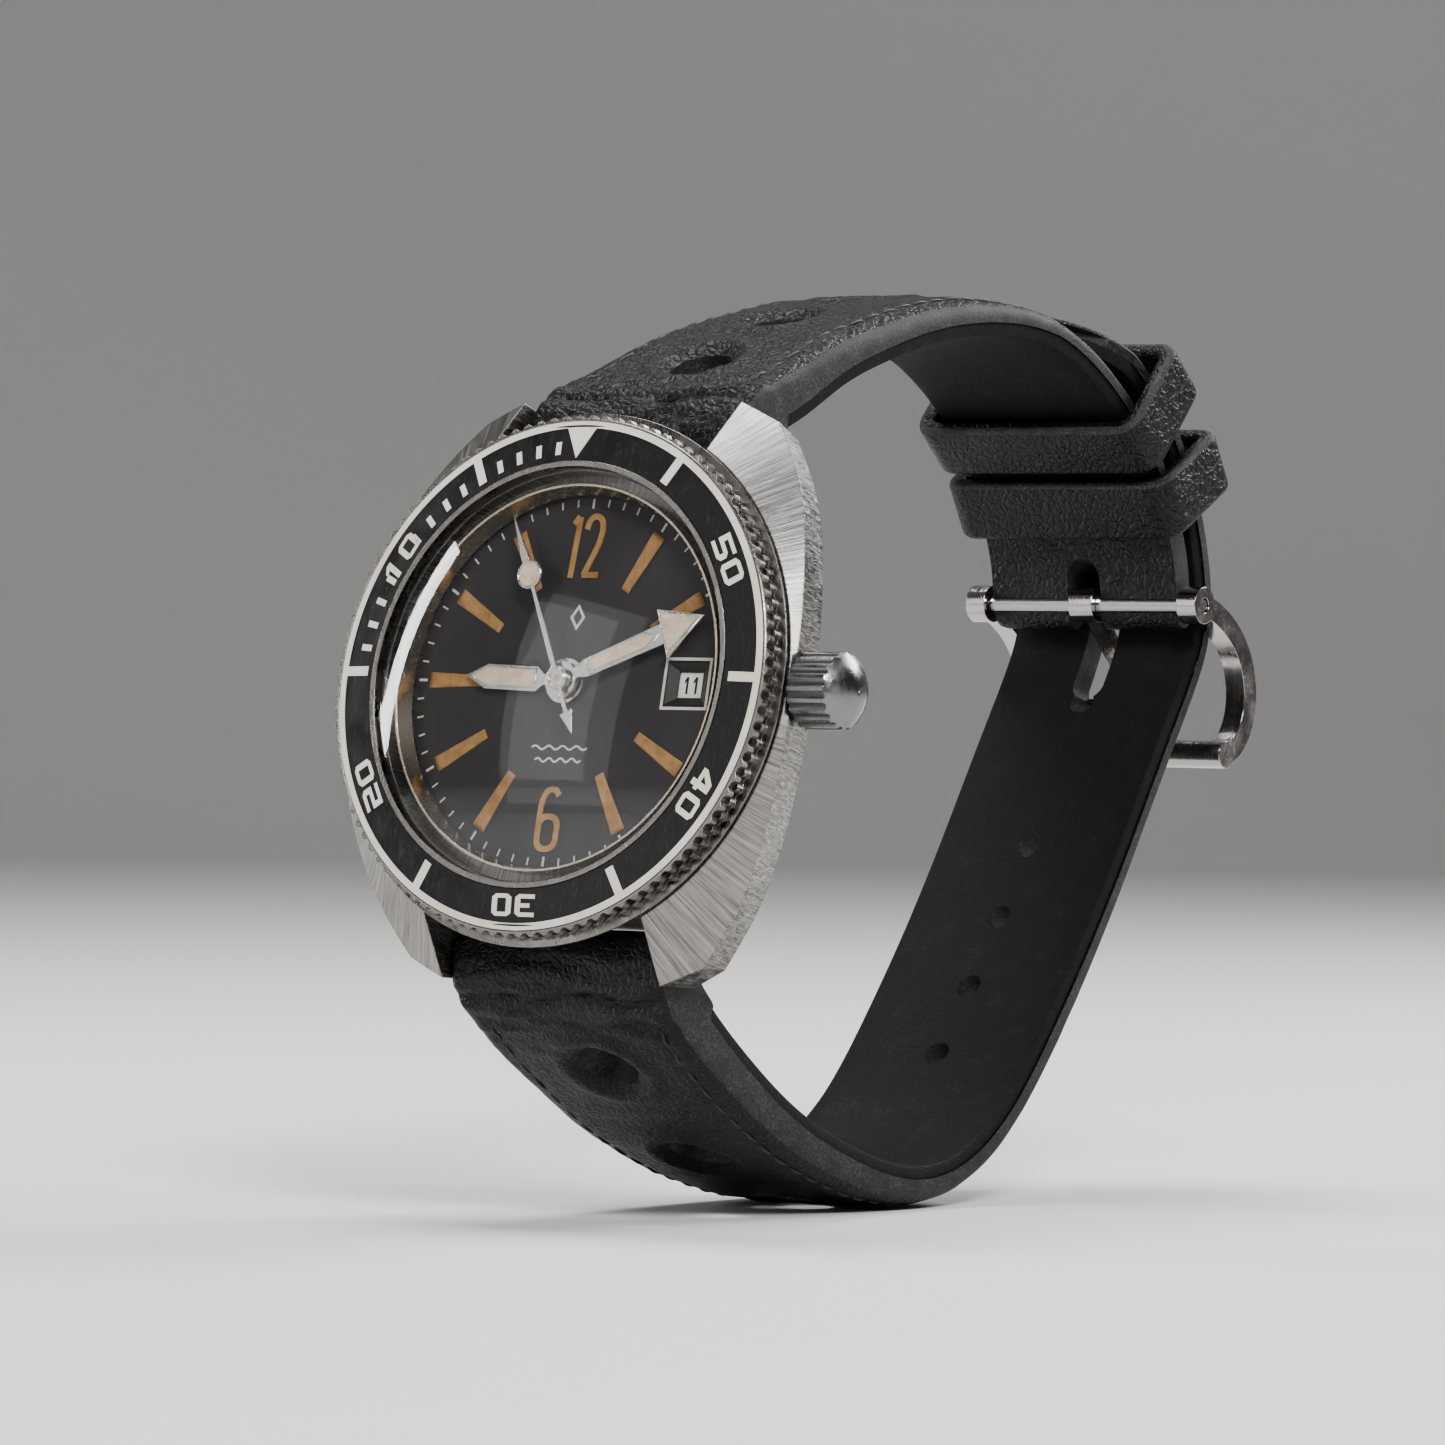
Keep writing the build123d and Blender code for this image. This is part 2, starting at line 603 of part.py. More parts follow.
def main_plate():
    body = disc(PLATE_R, *PLATE_Z)
    body -= disc(3.5, 5.0, 5.45)
    body -= disc(1.0, 5.0, 5.5, THIRD_AT)
    body -= disc(0.5, 5, 7)
    body -= disc(0.62, 5, 7, BARREL_AT)
    for at in JEWELS_PLATE:
        body -= disc(JEWEL_R, 5, 5.95, at)
    body = stem_room(body)
    for at in BARREL_BRIDGE_FEET + TRAIN_BRIDGE_FEET + [COCK_FOOT, PALLET_BRIDGE_FOOT]:
        body -= disc(0.3, 5, 5.9, at)
    return body + disc(0.3, 6.4, 6.96, MINUTE_WHEEL_AT)


def movement_holder():
    body = ring(13.5, 12.78, 2.75, 6.97)
    body -= disc(13.2, 6.5, 7.5)
    return body - rod_x(0.7, 11, 15, 0, STEM_Z)


def feet(positions, z0, z1, r=1.05):
    body = disc(r, z0, z1, positions[0])
    for at in positions[1:]:
        body += disc(r, z0, z1, at)
    return body


def screw_holes(positions, z0, z1):
    return feet(positions, z0, z1, 0.3)


def barrel_bridge():
    z0, z1 = BRIDGE_Z
    body = disc(12.55, z0, z1) - block(-14, 14, -14, 1.45, z0 - 1, z1 + 1)
    body -= disc(2.2, z0 - 1, z1 + 1)
    body += feet(BARREL_BRIDGE_FEET, z0, PLATE_Z[0])
    body -= disc(0.62, z0 - 1, z1 + 1, BARREL_AT)
    body -= disc(1.9, 2, 4.5, COCK_FOOT)
    return body - screw_holes(BARREL_BRIDGE_FEET, 3, 5.5)


def train_bridge():
    z0, z1 = BRIDGE_Z
    body = disc(12.55, z0, z1) & block(-2.7, 13, -13, 1.15, z0 - 1, z1 + 1)
    body -= disc(4.75, z0 - 1, z1 + 1, BALANCE_AT)
    body += feet(TRAIN_BRIDGE_FEET, z0, PLATE_Z[0])
    for at in (CENTRE, THIRD_AT, ESCAPE_AT):
        body -= disc(JEWEL_R, z0 - 1, z1 + 1, at)
    return body - screw_holes(TRAIN_BRIDGE_FEET, 3, 5.5)


def link_plate(a, b, r_a, r_b, z0, z1):
    """A flat bar with round ends between two points."""
    along = angle_to(a, b)
    points = [
        polar(r_a, along + 90, a), polar(r_a, along - 90, a),
        polar(r_b, along - 90, b), polar(r_b, along + 90, b),
    ]
    return prism(points, z0, z1) + disc(r_a, z0, z1, a) + disc(r_b, z0, z1, b)


def balance_cock():
    body = link_plate(COCK_FOOT, BALANCE_AT, 1.15, 0.95, 3.0, 3.5)
    body += disc(1.05, 3.0, PLATE_Z[0], COCK_FOOT)
    body -= disc(JEWEL_R, 2.5, 4, BALANCE_AT)
    return body - screw_holes([COCK_FOOT], 2.5, 5.5)


def pallet_bridge():
    z0, z1 = 4.22, 4.4
    body = link_plate(PALLET_AT, PALLET_BRIDGE_FOOT, 0.7, 0.85, z0, z1)
    body += disc(0.85, z0, PLATE_Z[0], PALLET_BRIDGE_FOOT)
    body -= disc(0.3, z0 - 1, z1 + 1, PALLET_AT)
    return body - screw_holes([PALLET_BRIDGE_FOOT], 4, 5.5)


def jewels():
    spots = [(at, 5.7, 5.9) for at in JEWELS_PLATE]
    spots += [(at, 3.45, 3.7) for at in (CENTRE, THIRD_AT, ESCAPE_AT)]
    spots.append((BALANCE_AT, 3.1, 3.35))
    solids = [ring(JEWEL_R, PIVOT_R + 0.03, z0, z1, at) for at, z0, z1 in spots]
    solids.append(ring(0.3, PIVOT_R + 0.03, 4.24, 4.38, PALLET_AT))
    return Compound(solids)


def bridge_screws():
    spots = [(at, 3.05) for at in BARREL_BRIDGE_FEET + TRAIN_BRIDGE_FEET]
    spots += [(COCK_FOOT, 2.74), (PALLET_BRIDGE_FOOT, 4.0)]
    solids = []
    for at, z in spots:
        head = 0.24 if z != 4.0 else 0.2
        body = disc(0.6, z, z + head, at) + disc(0.27, z + head - 0.05, 5.8, at)
        slot = Pos(at[0], at[1], z) * Rotation(0, 0, 37 * len(solids)) * Box(2, 0.16, 0.22)
        solids.append(body - slot)
    return Compound(solids)


def barrel():
    drum_r, inside = 5.05, 4.8
    to_centre = angle_to(BARREL_AT, CENTRE)
    drum = gear(72, BARREL_MODULE, 4.75, 4.98, to_centre, BARREL_AT)
    drum += ring(drum_r, inside, 4.3, 4.8, BARREL_AT)
    drum -= disc(0.6, 4, 6, BARREL_AT)
    lid = ring(4.75, 0.6, 4.2, 4.29, BARREL_AT)
    return Compound([drum, lid])


def barrel_arbor():
    body = disc(1.1, 4.34, 4.7, BARREL_AT) + disc(0.54, 3.0, 6.1, BARREL_AT)
    square = block(-0.36, 0.36, -0.36, 0.36, 2.9, 3.28)
    body -= disc(1, 2.9, 3.28, BARREL_AT)
    return body + Pos(BARREL_AT[0], BARREL_AT[1], 0) * square


def ratchet_wheel():
    body = gear(36, 0.14, 2.94, 3.2, 0, BARREL_AT)
    hole = block(-0.38, 0.38, -0.38, 0.38, 2.8, 3.4)
    return body - Pos(BARREL_AT[0], BARREL_AT[1], 0) * hole


def click():
    pivot = polar(3.9, 20, BARREL_AT)
    nose = polar(2.86, 42, BARREL_AT)
    return link_plate(pivot, nose, 0.5, 0.16, 2.98, 3.2) + disc(0.28, 3.1, 3.32, pivot)


def mainspring():
    return spiral_strip(1.25, 4.6, 7, 0.14, 4.36, 4.68, BARREL_AT)


def centre_wheel():
    to_third = angle_to(CENTRE, THIRD_AT)
    to_barrel = angle_to(CENTRE, BARREL_AT)
    wheel = gear(80, TRAIN_MODULE, 5.2, 5.35, to_third)
    wheel -= wheel_crossings(2.6, 0.9, 5.2, 5.35, CENTRE)
    body = wheel + gear(12, BARREL_MODULE, 4.72, 5.1, gap_phase(12, to_barrel))
    body += disc(0.42, 4.72, 8.42)
    return body - disc(0.24, 4, 9)


def third_wheel():
    back = angle_to(THIRD_AT, CENTRE)
    wheel = gear(75, THIRD_MODULE, 4.34, 4.46, back, THIRD_AT)
    wheel -= wheel_crossings(2.5, 0.6, 4.34, 4.46, THIRD_AT)
    body = wheel + gear(10, TRAIN_MODULE, 5.12, 5.42, gap_phase(10, back), THIRD_AT)
    body += disc(0.2, 3.75, 5.65, THIRD_AT)
    return body + disc(PIVOT_R, 3.5, 5.88, THIRD_AT)


def fourth_wheel():
    to_third = angle_to(CENTRE, THIRD_AT)
    to_escape = angle_to(CENTRE, ESCAPE_AT)
    wheel = gear(80, ESCAPE_MODULE, 4.0, 4.12, to_escape)
    wheel -= wheel_crossings(2.65, 0.6, 4.0, 4.12, CENTRE)
    body = wheel + gear(10, THIRD_MODULE, 4.3, 4.6, gap_phase(10, to_third))
    body += disc(0.25, 3.8, 4.62)
    return body + disc(PIVOT_R, 3.5, 4.0) + disc(0.2, 4.5, 8.78)


def escape_wheel():
    back = angle_to(ESCAPE_AT, CENTRE)
    outline = []
    for n in range(15):
        at = 24 * n
        outline += [polar(1.45, at), polar(1.9, at + 9), polar(1.9, at + 10.5), polar(1.45, at + 14)]
    wheel = Pos(ESCAPE_AT[0], ESCAPE_AT[1], 0) * prism(outline, 4.5, 4.62)
    wheel -= wheel_crossings(1.2, 0.45, 4.5, 4.62, ESCAPE_AT, arm_width=0.25)
    body = wheel + gear(8, ESCAPE_MODULE, 4.0, 4.28, gap_phase(8, back), ESCAPE_AT)
    body += disc(0.17, 3.75, 5.65, ESCAPE_AT)
    return body + disc(PIVOT_R, 3.5, 5.88, ESCAPE_AT)


def pallet_fork():
    z0, z1 = 4.45, 4.6
    outward = angle_to(PALLET_AT, BALANCE_AT)
    inward = outward + 180
    left, right = polar(1.05, inward - 66, PALLET_AT), polar(1.05, inward + 66, PALLET_AT)
    neck = polar(2.1, outward, PALLET_AT)
    body = link_plate(PALLET_AT, left, 0.28, 0.13, z0, z1)
    body += link_plate(PALLET_AT, right, 0.28, 0.13, z0, z1)
    body += link_plate(PALLET_AT, neck, 0.22, 0.14, z0, z1)
    for side in (-1, 1):
        horn = polar(0.5, outward + side * 32, neck)
        body += link_plate(neck, horn, 0.1, 0.07, z0, z1)
    return body + disc(PIVOT_R, 4.2, 5.88, PALLET_AT)


def balance():
    z0, z1 = 3.85, 4.1
    rim = ring(4.2, 3.75, z0, z1, BALANCE_AT)
    arms = Pos(BALANCE_AT[0], BALANCE_AT[1], (z0 + z1) / 2 - 0.04) * Box(7.6, 0.5, 0.15)
    body = rim + arms + disc(0.5, z0, 4.02, BALANCE_AT)
    body += disc(0.25, 3.52, 5.55, BALANCE_AT)
    body += disc(0.38, 4.44, 4.62, BALANCE_AT)
    return body + disc(PIVOT_R, 3.15, 5.88, BALANCE_AT)


def hairspring():
    return spiral_strip(0.42, 2.3, 8, 0.06, 3.58, 3.7, BALANCE_AT)


def automatic_bridge():
    body = disc(5.4, 2.45, 2.8)
    body -= disc(1.5, 2, 3, (2.9, -2.4)) + disc(1.2, 2, 3, (-2.9, -2.2))
    body += feet(AUTO_BRIDGE_FEET, 2.7, BRIDGE_Z[0], 0.55)
    body += disc(1.0, 1.72, 2.6)
    return body - disc(0.36, 1, 2.5)


def rotor():
    web = disc(12.3, 1.75, 2.0) - block(-14, 14, 0, 14, 1, 3)
    rim = ring(12.3, 10.9, 1.75, 2.62) - block(-14, 14, 0.0, 14, 1, 3)
    body = web + rim
    for angle in (-50, -90, -130):
        body -= disc(1.7, 1, 2.2, polar(6.6, angle))
    body += disc(2.0, 1.75, 2.4)
    return body - disc(1.06, 1, 3)


def rotor_screw():
    body = disc(1.6, 1.42, 1.68) + disc(0.33, 1.5, 2.3)
    return body - Pos(0, 0, 1.42) * Box(4, 0.3, 0.24)


PARTS = {
    "mid_case": mid_case,
    "case_back": case_back,
    "case_back_gasket": lambda: ring(14.75, 14.25, 1.02, 1.48),
    "crystal": crystal,
    "crystal_ring": lambda: turned([(13.3, 7.76), (13.3, 9.1), (13.12, 9.1), (12.8, 7.76)]),
    "bezel": bezel,
    "bezel_insert": bezel_insert,
    "bezel_spring": bezel_spring,
    "pendant_tube": lambda: ring_x(0.98, 0.62, 13.7, 17.7) + ring_x(1.25, 0.62, 17.6, 19.8),
    "crown": crown,
    "crown_gasket": lambda: ring_x(1.72, 1.3, 18.95, 19.5),
    "winding_stem": winding_stem,
    "sliding_pinion": sliding_pinion,
    "winding_pinion": winding_pinion,
    "strap_upper": strap_upper,
    "lining_upper": lining_upper,
    "strap_lower": strap_lower,
    "lining_lower": lining_lower,
    "keeper_fixed": lambda: keeper(KEEPER_FIXED_AT, KEEPER_LENGTH),
    "keeper_free": lambda: keeper(KEEPER_FREE_AT, KEEPER_LENGTH),
    "buckle_frame": buckle_frame,
    "buckle_tongue": buckle_tongue,
    "buckle_bar": buckle_bar,
    "spring_bar_upper": lambda: spring_bar(1),
    "spring_bar_lower": lambda: spring_bar(-1),
    "bar_tip_upper_left": lambda: bar_tip(1, -1),
    "bar_tip_upper_right": lambda: bar_tip(1, 1),
    "bar_tip_lower_left": lambda: bar_tip(-1, -1),
    "bar_tip_lower_right": lambda: bar_tip(-1, 1),
    "dial": dial,
    "date_ring": date_ring,
    "hour_hand": hour_hand,
    "minute_hand": minute_hand,
    "seconds_hand": seconds_hand,
    "cannon_pinion": cannon_pinion,
    "minute_wheel": minute_wheel,
    "hour_wheel": hour_wheel,
    "movement_holder": movement_holder,
    "main_plate": main_plate,
    "barrel_bridge": barrel_bridge,
    "train_bridge": train_bridge,
    "balance_cock": balance_cock,
    "pallet_bridge": pallet_bridge,
    "jewels": jewels,
    "bridge_screws": bridge_screws,
    "barrel": barrel,
    "barrel_arbor": barrel_arbor,
    "ratchet_wheel": ratchet_wheel,
    "click": click,
    "mainspring": mainspring,
    "centre_wheel": centre_wheel,
    "third_wheel": third_wheel,
    "fourth_wheel": fourth_wheel,
    "escape_wheel": escape_wheel,
    "pallet_fork": pallet_fork,
    "balance": balance,
    "hairspring": hairspring,
    "automatic_bridge": automatic_bridge,
    "rotor": rotor,
    "rotor_screw": rotor_screw,
}

os.makedirs("parts", exist_ok=True)
for name, make in PARTS.items():
    export_step(place(make()), f"parts/{name}.step")
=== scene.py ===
from math import ceil, cos, exp, hypot, pi, radians, sin, sqrt

import bmesh
import bpy
import numpy as np
from mathutils import Matrix, Vector, noise


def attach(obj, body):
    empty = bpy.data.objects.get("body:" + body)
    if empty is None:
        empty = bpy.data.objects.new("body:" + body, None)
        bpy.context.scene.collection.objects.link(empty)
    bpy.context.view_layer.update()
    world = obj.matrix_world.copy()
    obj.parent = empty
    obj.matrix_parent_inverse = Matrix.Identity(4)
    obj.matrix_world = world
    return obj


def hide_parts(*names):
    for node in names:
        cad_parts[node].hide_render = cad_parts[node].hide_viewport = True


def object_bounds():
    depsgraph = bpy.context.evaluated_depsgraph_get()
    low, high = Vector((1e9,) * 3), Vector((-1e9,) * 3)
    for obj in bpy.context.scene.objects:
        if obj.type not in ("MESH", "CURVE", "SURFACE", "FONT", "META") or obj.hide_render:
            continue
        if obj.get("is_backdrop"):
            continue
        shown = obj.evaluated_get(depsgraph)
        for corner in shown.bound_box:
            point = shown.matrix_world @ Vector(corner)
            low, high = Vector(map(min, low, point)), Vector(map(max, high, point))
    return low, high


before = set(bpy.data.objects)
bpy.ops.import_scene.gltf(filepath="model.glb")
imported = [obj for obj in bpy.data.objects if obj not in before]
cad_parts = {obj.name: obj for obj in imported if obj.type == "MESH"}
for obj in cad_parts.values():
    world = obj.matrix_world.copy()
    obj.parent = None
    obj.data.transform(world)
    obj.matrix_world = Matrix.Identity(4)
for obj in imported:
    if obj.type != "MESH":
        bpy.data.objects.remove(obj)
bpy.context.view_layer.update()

# The watch is drawn lying flat, in millimetres: X to 3 o'clock, Y to 12 o'clock, Z out of the dial.
# WATCH takes that to the shared frame, in metres.
LEAN = 12.3
WATCH = Matrix.Rotation(radians(90 - LEAN), 4, "X") @ Matrix.Scale(0.001, 4)
MM = 0.001

DIAL_TOP = 7.4
INSERT_INNER = (14.66, 10.1)
INSERT_OUTER = (17.45, 9.76)
STEM_Z = 5.85
BAR_Y, BAR_Z = 18.0, 2.4
LOOP_R = 2.1
LINING = 1.0
BUCKLE_BAR = (19.3, -53.3)
TAIL_ROUND_R = 8.4
INSERT_RING = (16.95, 17.43)
DATE_X = 9.78
SECONDS_DISC_Y = 7.9
SEAM_INSET = 1.75
PIN_HOLE_R = 0.8


# ---- small tools ----
def smooth_step(value, low, high):
    share = min(1.0, max(0.0, (value - low) / (high - low)))
    return share * share * (3 - 2 * share)


def table(points, value):
    """Reads a table of (place, value) pairs, in a straight line between them."""
    return float(np.interp(value, *zip(*points)))


def dress(obj, body, slot, *materials):
    obj.data.materials.clear()
    for material in materials:
        obj.data.materials.append(material)
    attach(obj, body)
    return obj


def added(name, data):
    obj = bpy.data.objects.new(name, data)
    bpy.context.scene.collection.objects.link(obj)
    return obj


def mesh_object(name, vertices, faces, smooth=True):
    mesh = bpy.data.meshes.new(name)
    mesh.from_pydata([tuple(v) for v in vertices], [], faces)
    mesh.validate()
    mesh.update()
    mesh.transform(WATCH)
    mesh.polygons.foreach_set("use_smooth", [smooth] * len(mesh.polygons))
    return added(name, mesh)


def laid(name, part, body, slot, material, smooth=False):
    """A dressed piece from a (vertices, faces) pair."""
    return dress(mesh_object(name, *part, smooth), body, slot, M[material])


def on_dial(name, parts, material, smooth=False):
    return laid(name, moved(joined(parts), 0, (0, 0, DIAL_TOP)), "case_unit", "dial_black", material, smooth)


def joined(parts):
    """Several (vertices, faces) lists as one."""
    vertices, faces = [], []
    for some_vertices, some_faces in parts:
        start = len(vertices)
        vertices += some_vertices
        faces += [tuple(start + i for i in face) for face in some_faces]
    return vertices, faces


def plate(loops, thickness):
    """Flat outlines, with any holes, as a closed plate from z = 0 to its thickness."""
    curve = bpy.data.curves.new("outline", "CURVE")
    curve.dimensions = "2D"
    curve.fill_mode = "BOTH"
    curve.extrude = thickness / 2
    for loop in loops:
        spline = curve.splines.new("POLY")
        spline.points.add(len(loop) - 1)
        for point, (x, y) in zip(spline.points, loop):
            point.co = (x, y, 0, 1)
        spline.use_cyclic_u = True
    holder = added("outline", curve)
    bpy.context.view_layer.update()
    mesh = bpy.data.meshes.new_from_object(holder)
    vertices = [(v.co.x, v.co.y, v.co.z + thickness / 2) for v in mesh.vertices]
    faces = [tuple(p.vertices) for p in mesh.polygons]
    bpy.data.objects.remove(holder)
    bpy.data.curves.remove(curve)
    bpy.data.meshes.remove(mesh)
    return welded(vertices, faces)


def welded(vertices, faces):
    """The same surface with points that share a place made one."""
    index, kept, renumber = {}, [], []
    for v in vertices:
        key = tuple(round(c, 5) for c in v)
        if key not in index:
            index[key] = len(kept)
            kept.append(v)
        renumber.append(index[key])
    clean = []
    for face in faces:
        ids = []
        for i in face:
            if not ids or renumber[i] != ids[-1]:
                ids.append(renumber[i])
        if len(set(ids)) > 2:
            clean.append(tuple(ids))
    return kept, clean


def moved(part, turn=0.0, shift=(0.0, 0.0, 0.0)):
    """A (vertices, faces) pair turned clockwise about Z and then shifted."""
    c, s = cos(radians(-turn)), sin(radians(-turn))
    dx, dy, dz = shift
    return [(x * c - y * s + dx, x * s + y * c + dy, z + dz) for x, y, z in part[0]], part[1]


def skin(rows, around, closed=False, turn=1):
    """Quads over rows of points that each go once round: closed on itself, or capped at both ends."""
    faces = []
    for n in range(rows if closed else rows - 1):
        a, b = n * around, (n + 1) % rows * around
        for k in range(around):
            m = (k + 1) % around
            faces.append((a + k, a + m, b + m, b + k))
    if not closed:
        faces += [tuple(range(around))[::-1], tuple((rows - 1) * around + k for k in range(around))]
    return faces if turn > 0 else [f[::-1] for f in faces]


def draped(part, height):
    """A (vertices, faces) pair laid on the surface height(x, y)."""
    return [(x, y, z + height(x, y)) for x, y, z in part[0]], part[1]


def rounded_box(half_x, half_y, radius, corner):
    """A rectangle's outline with round corners."""
    points = []
    for cx, cy, start in ((1, 1, 0), (-1, 1, 90), (-1, -1, 180), (1, -1, 270)):
        for n in range(corner + 1):
            angle = radians(start + 90 * n / corner)
            points.append((cx * (half_x - radius) + radius * cos(angle),
                           cy * (half_y - radius) + radius * sin(angle)))
    return points


def circle(r, steps):
    return [(r * cos(2 * pi * n / steps), r * sin(2 * pi * n / steps)) for n in range(steps)]


def stroke(points, width):
    """The outline of a line of even width through points."""
    left, right = [], []
    for i, (x, y) in enumerate(points):
        x0, y0 = points[max(0, i - 1)]
        x1, y1 = points[min(len(points) - 1, i + 1)]
        along = hypot(x1 - x0, y1 - y0)
        nx, ny = -(y1 - y0) / along, (x1 - x0) / along
        left.append((x + nx * width / 2, y + ny * width / 2))
        right.append((x - nx * width / 2, y - ny * width / 2))
    return left + right[::-1]


# ---- materials ----
class Paint:
    """A Principled material and short ways to add nodes to it."""

    def __init__(self, name, color, roughness, metallic=0.0, **sockets):
        self.material = bpy.data.materials.new(name)
        self.material.use_nodes = True
        self.tree = self.material.node_tree
        self.shader = self.tree.nodes["Principled BSDF"]
        self.put("Base Color", (*color, 1.0))
        self.put("Roughness", roughness)
        self.put("Metallic", metallic)
        for key, value in sockets.items():
            self.put(key.replace("_", " "), value)
        self.place = self.flat("Object", 1000)

    def put(self, socket, value):
        self._set(self.shader.inputs[socket], value)

    def _set(self, socket, value):
        if isinstance(value, bpy.types.NodeSocket):
            self.tree.links.new(value, socket)
        else:
            socket.default_value = value

    def node(self, kind, output=0, **values):
        """A new node's output. Values named Like_This or i0 are sockets, and the rest are settings."""
        made = self.tree.nodes.new("ShaderNode" + kind)
        for key, value in values.items():
            if key[0] == "i" and key[1:].isdigit():
                self._set(made.inputs[int(key[1:])], value)
            elif key[0].isupper():
                self._set(made.inputs[key], value)
            else:
                setattr(made, key, value)
        return made.outputs[output]

    def flat(self, output, scale):
        """The watch's own place or direction, as it lies flat."""
        at = self.tree.nodes.new("ShaderNodeTexCoord").outputs[output]
        return self.turned((radians(LEAN - 90), 0, 0), (scale, scale, scale), at)

    def done(self, color, roughness=None, normal=None):
        for socket, value in (("Base Color", color), ("Roughness", roughness), ("Normal", normal)):
            if value is not None:
                self.put(socket, value)
        return self.material

    def parts(self, vector):
        split = self.tree.nodes.new("ShaderNodeSeparateXYZ")
        self._set(split.inputs[0], vector)
        return split.outputs

    def vector(self, x, y, z):
        return self.node("CombineXYZ", i0=x, i1=y, i2=z)

    def math(self, operation, a, b=0.0):
        return self.node("Math", operation=operation, i0=a, i1=b)

    def times(self, a, b):
        return self.math("MULTIPLY", a, b)

    def plus(self, a, b):
        return self.math("ADD", a, b)

    def minus(self, a, b):
        return self.math("SUBTRACT", a, b)

    def radius(self, x, y):
        return self.math("SQRT", self.plus(self.times(x, x), self.times(y, y)))

    def turned(self, rotation, scale, vector=None):
        return self.node("Mapping", Vector=vector or self.place, Rotation=rotation, Scale=scale)

    def noise(self, scale, detail=3.0, roughness=0.55, distortion=0.0, vector=None):
        return self.node("TexNoise", Vector=vector or self.place, Scale=scale, Detail=detail,
                         Roughness=roughness, Distortion=distortion)

    def cells(self, scale, feature="F1", vector=None):
        return self.node("TexVoronoi", feature=feature,
                         Vector=vector or self.place, Scale=scale)

    def span(self, value, low, high, to_low=0.0, to_high=1.0):
        return self.node("MapRange", i0=value, i1=low, i2=high, i3=to_low, i4=to_high)

    def mix(self, share, a, b):
        a = a if isinstance(a, bpy.types.NodeSocket) else (*a, 1.0)
        b = b if isinstance(b, bpy.types.NodeSocket) else (*b, 1.0)
        return self.node("Mix", output=2, data_type="RGBA", i0=share, i6=a, i7=b)

    def bump(self, height, depth_mm, strength=1.0, normal=None):
        inputs = {"Height": height, "Distance": depth_mm * MM, "Strength": strength}
        if normal is not None:
            inputs["Normal"] = normal
        return self.node("Bump", **inputs)

    def soft_edges(self, radius_mm):
        return self.node("Bevel", samples=4, Radius=radius_mm * MM)


def tint(color, share):
    return tuple(c * share for c in color)


def scratch_lines(paint, rotation, stretch, scale, count=1.0):
    """Fine straight scratches: thin bands of stretched noise."""
    lines = paint.noise(scale, 2.0, 0.6, vector=paint.turned(rotation, stretch))
    return paint.span(paint.math("ABSOLUTE", paint.minus(lines, 0.5)), 0.0, 0.012 * count, 1, 0)


def case_steel():
    paint = Paint("case_steel", (0.4, 0.385, 0.37), 0.34, 1.0)
    x, y, z = paint.parts(paint.place)
    facing = paint.parts(paint.flat("Normal", 1))[2]
    angle = paint.math("ARCTAN2", y, x)
    radius = paint.radius(x, y)
    at = paint.vector(paint.times(angle, 74.0), paint.times(radius, 0.16), 0)
    rays = paint.noise(1.0, 4.0, 0.7, vector=at)
    at = paint.vector(paint.times(angle, 260.0), paint.times(radius, 0.35), 0)
    fine_rays = paint.noise(1.0, 2.0, 0.6, vector=at)
    at = paint.vector(paint.times(x, 2.2), paint.times(y, 7.5), paint.times(z, 0.45))
    upright = paint.noise(1.0, 4.0, 0.65, vector=at)
    top = paint.span(facing, 0.45, 0.6)
    brushed = paint.mix(top, upright, paint.mix(0.45, rays, fine_rays))
    slanted = scratch_lines(paint, (0.5, 0.35, 0.9), (3.2, 0.25, 0.5), 0.9)
    crossed = scratch_lines(paint, (1.3, -0.2, 0.2), (0.3, 2.6, 0.4), 0.7)
    scratches = paint.math("MAXIMUM", slanted, crossed)
    side = paint.minus(1.0, top)
    marks = paint.times(scratches, paint.times(side, 0.7))
    dull = paint.noise(0.22, 4.0, 0.6)
    rough = paint.plus(paint.span(brushed, 0.3, 0.7, 0.28, 0.46), paint.span(dull, 0.35, 0.7, -0.03, 0.12))
    tone = paint.mix(paint.span(brushed, 0.36, 0.64), (0.12, 0.114, 0.11), (0.44, 0.425, 0.41))
    height = paint.minus(brushed, paint.times(marks, 0.5))
    relief = paint.bump(height, 0.035, 0.85, paint.soft_edges(0.14))
    return paint.done(paint.mix(marks, tone, (0.72, 0.71, 0.69)), rough, relief)


def polished_steel(name, color, roughness, painted_shade_mask=None, wear=0.35):
    """Bright steel with hairlines and smudges. An optional mask function adds painted shade: a darker,
    rougher share.
    """
    paint = Paint(name, color, roughness, 1.0)
    smudge = paint.noise(0.5, 4.0, 0.6)
    hairs = scratch_lines(paint, (0.4, 0.8, 0.3), (4.0, 0.4, 1.2), 1.1)
    rough = paint.plus(paint.span(smudge, 0.35, 0.7, roughness * 0.7, roughness * 1.9),
                       paint.times(hairs, wear * 0.3))
    tone = paint.mix(paint.span(smudge, 0.3, 0.75), tint(color, 0.86), color)
    if painted_shade_mask is not None:
        share = painted_shade_mask(paint)
        # Painted shade: where the mask is, the steel's colour goes to near black.
        tone = paint.mix(share, tone, (0.035, 0.03, 0.026))
        rough = paint.plus(rough, paint.times(share, 0.4))
    return paint.done(tone, rough, paint.bump(hairs, -0.006, wear, paint.soft_edges(0.09)))


def bezel_grime(paint):
    """Painted shade between the teeth of the bezel's two knurled rows, standing in for the shade in the
    knurl's grooves.
    """
    x, y, z = paint.parts(paint.place)
    radius = paint.radius(x, y)
    low = paint.span(radius, 17.66, 17.82, 1, 0)
    band = paint.times(paint.span(z, 8.38, 8.48), paint.span(z, 9.6, 9.7, 1, 0))
    outside = paint.span(radius, 17.5, 17.58)
    patchy = paint.span(paint.noise(1.1, 3.0, 0.6), 0.3, 0.65, 0.45, 1.0)
    return paint.times(paint.times(low, patchy), paint.times(band, outside))


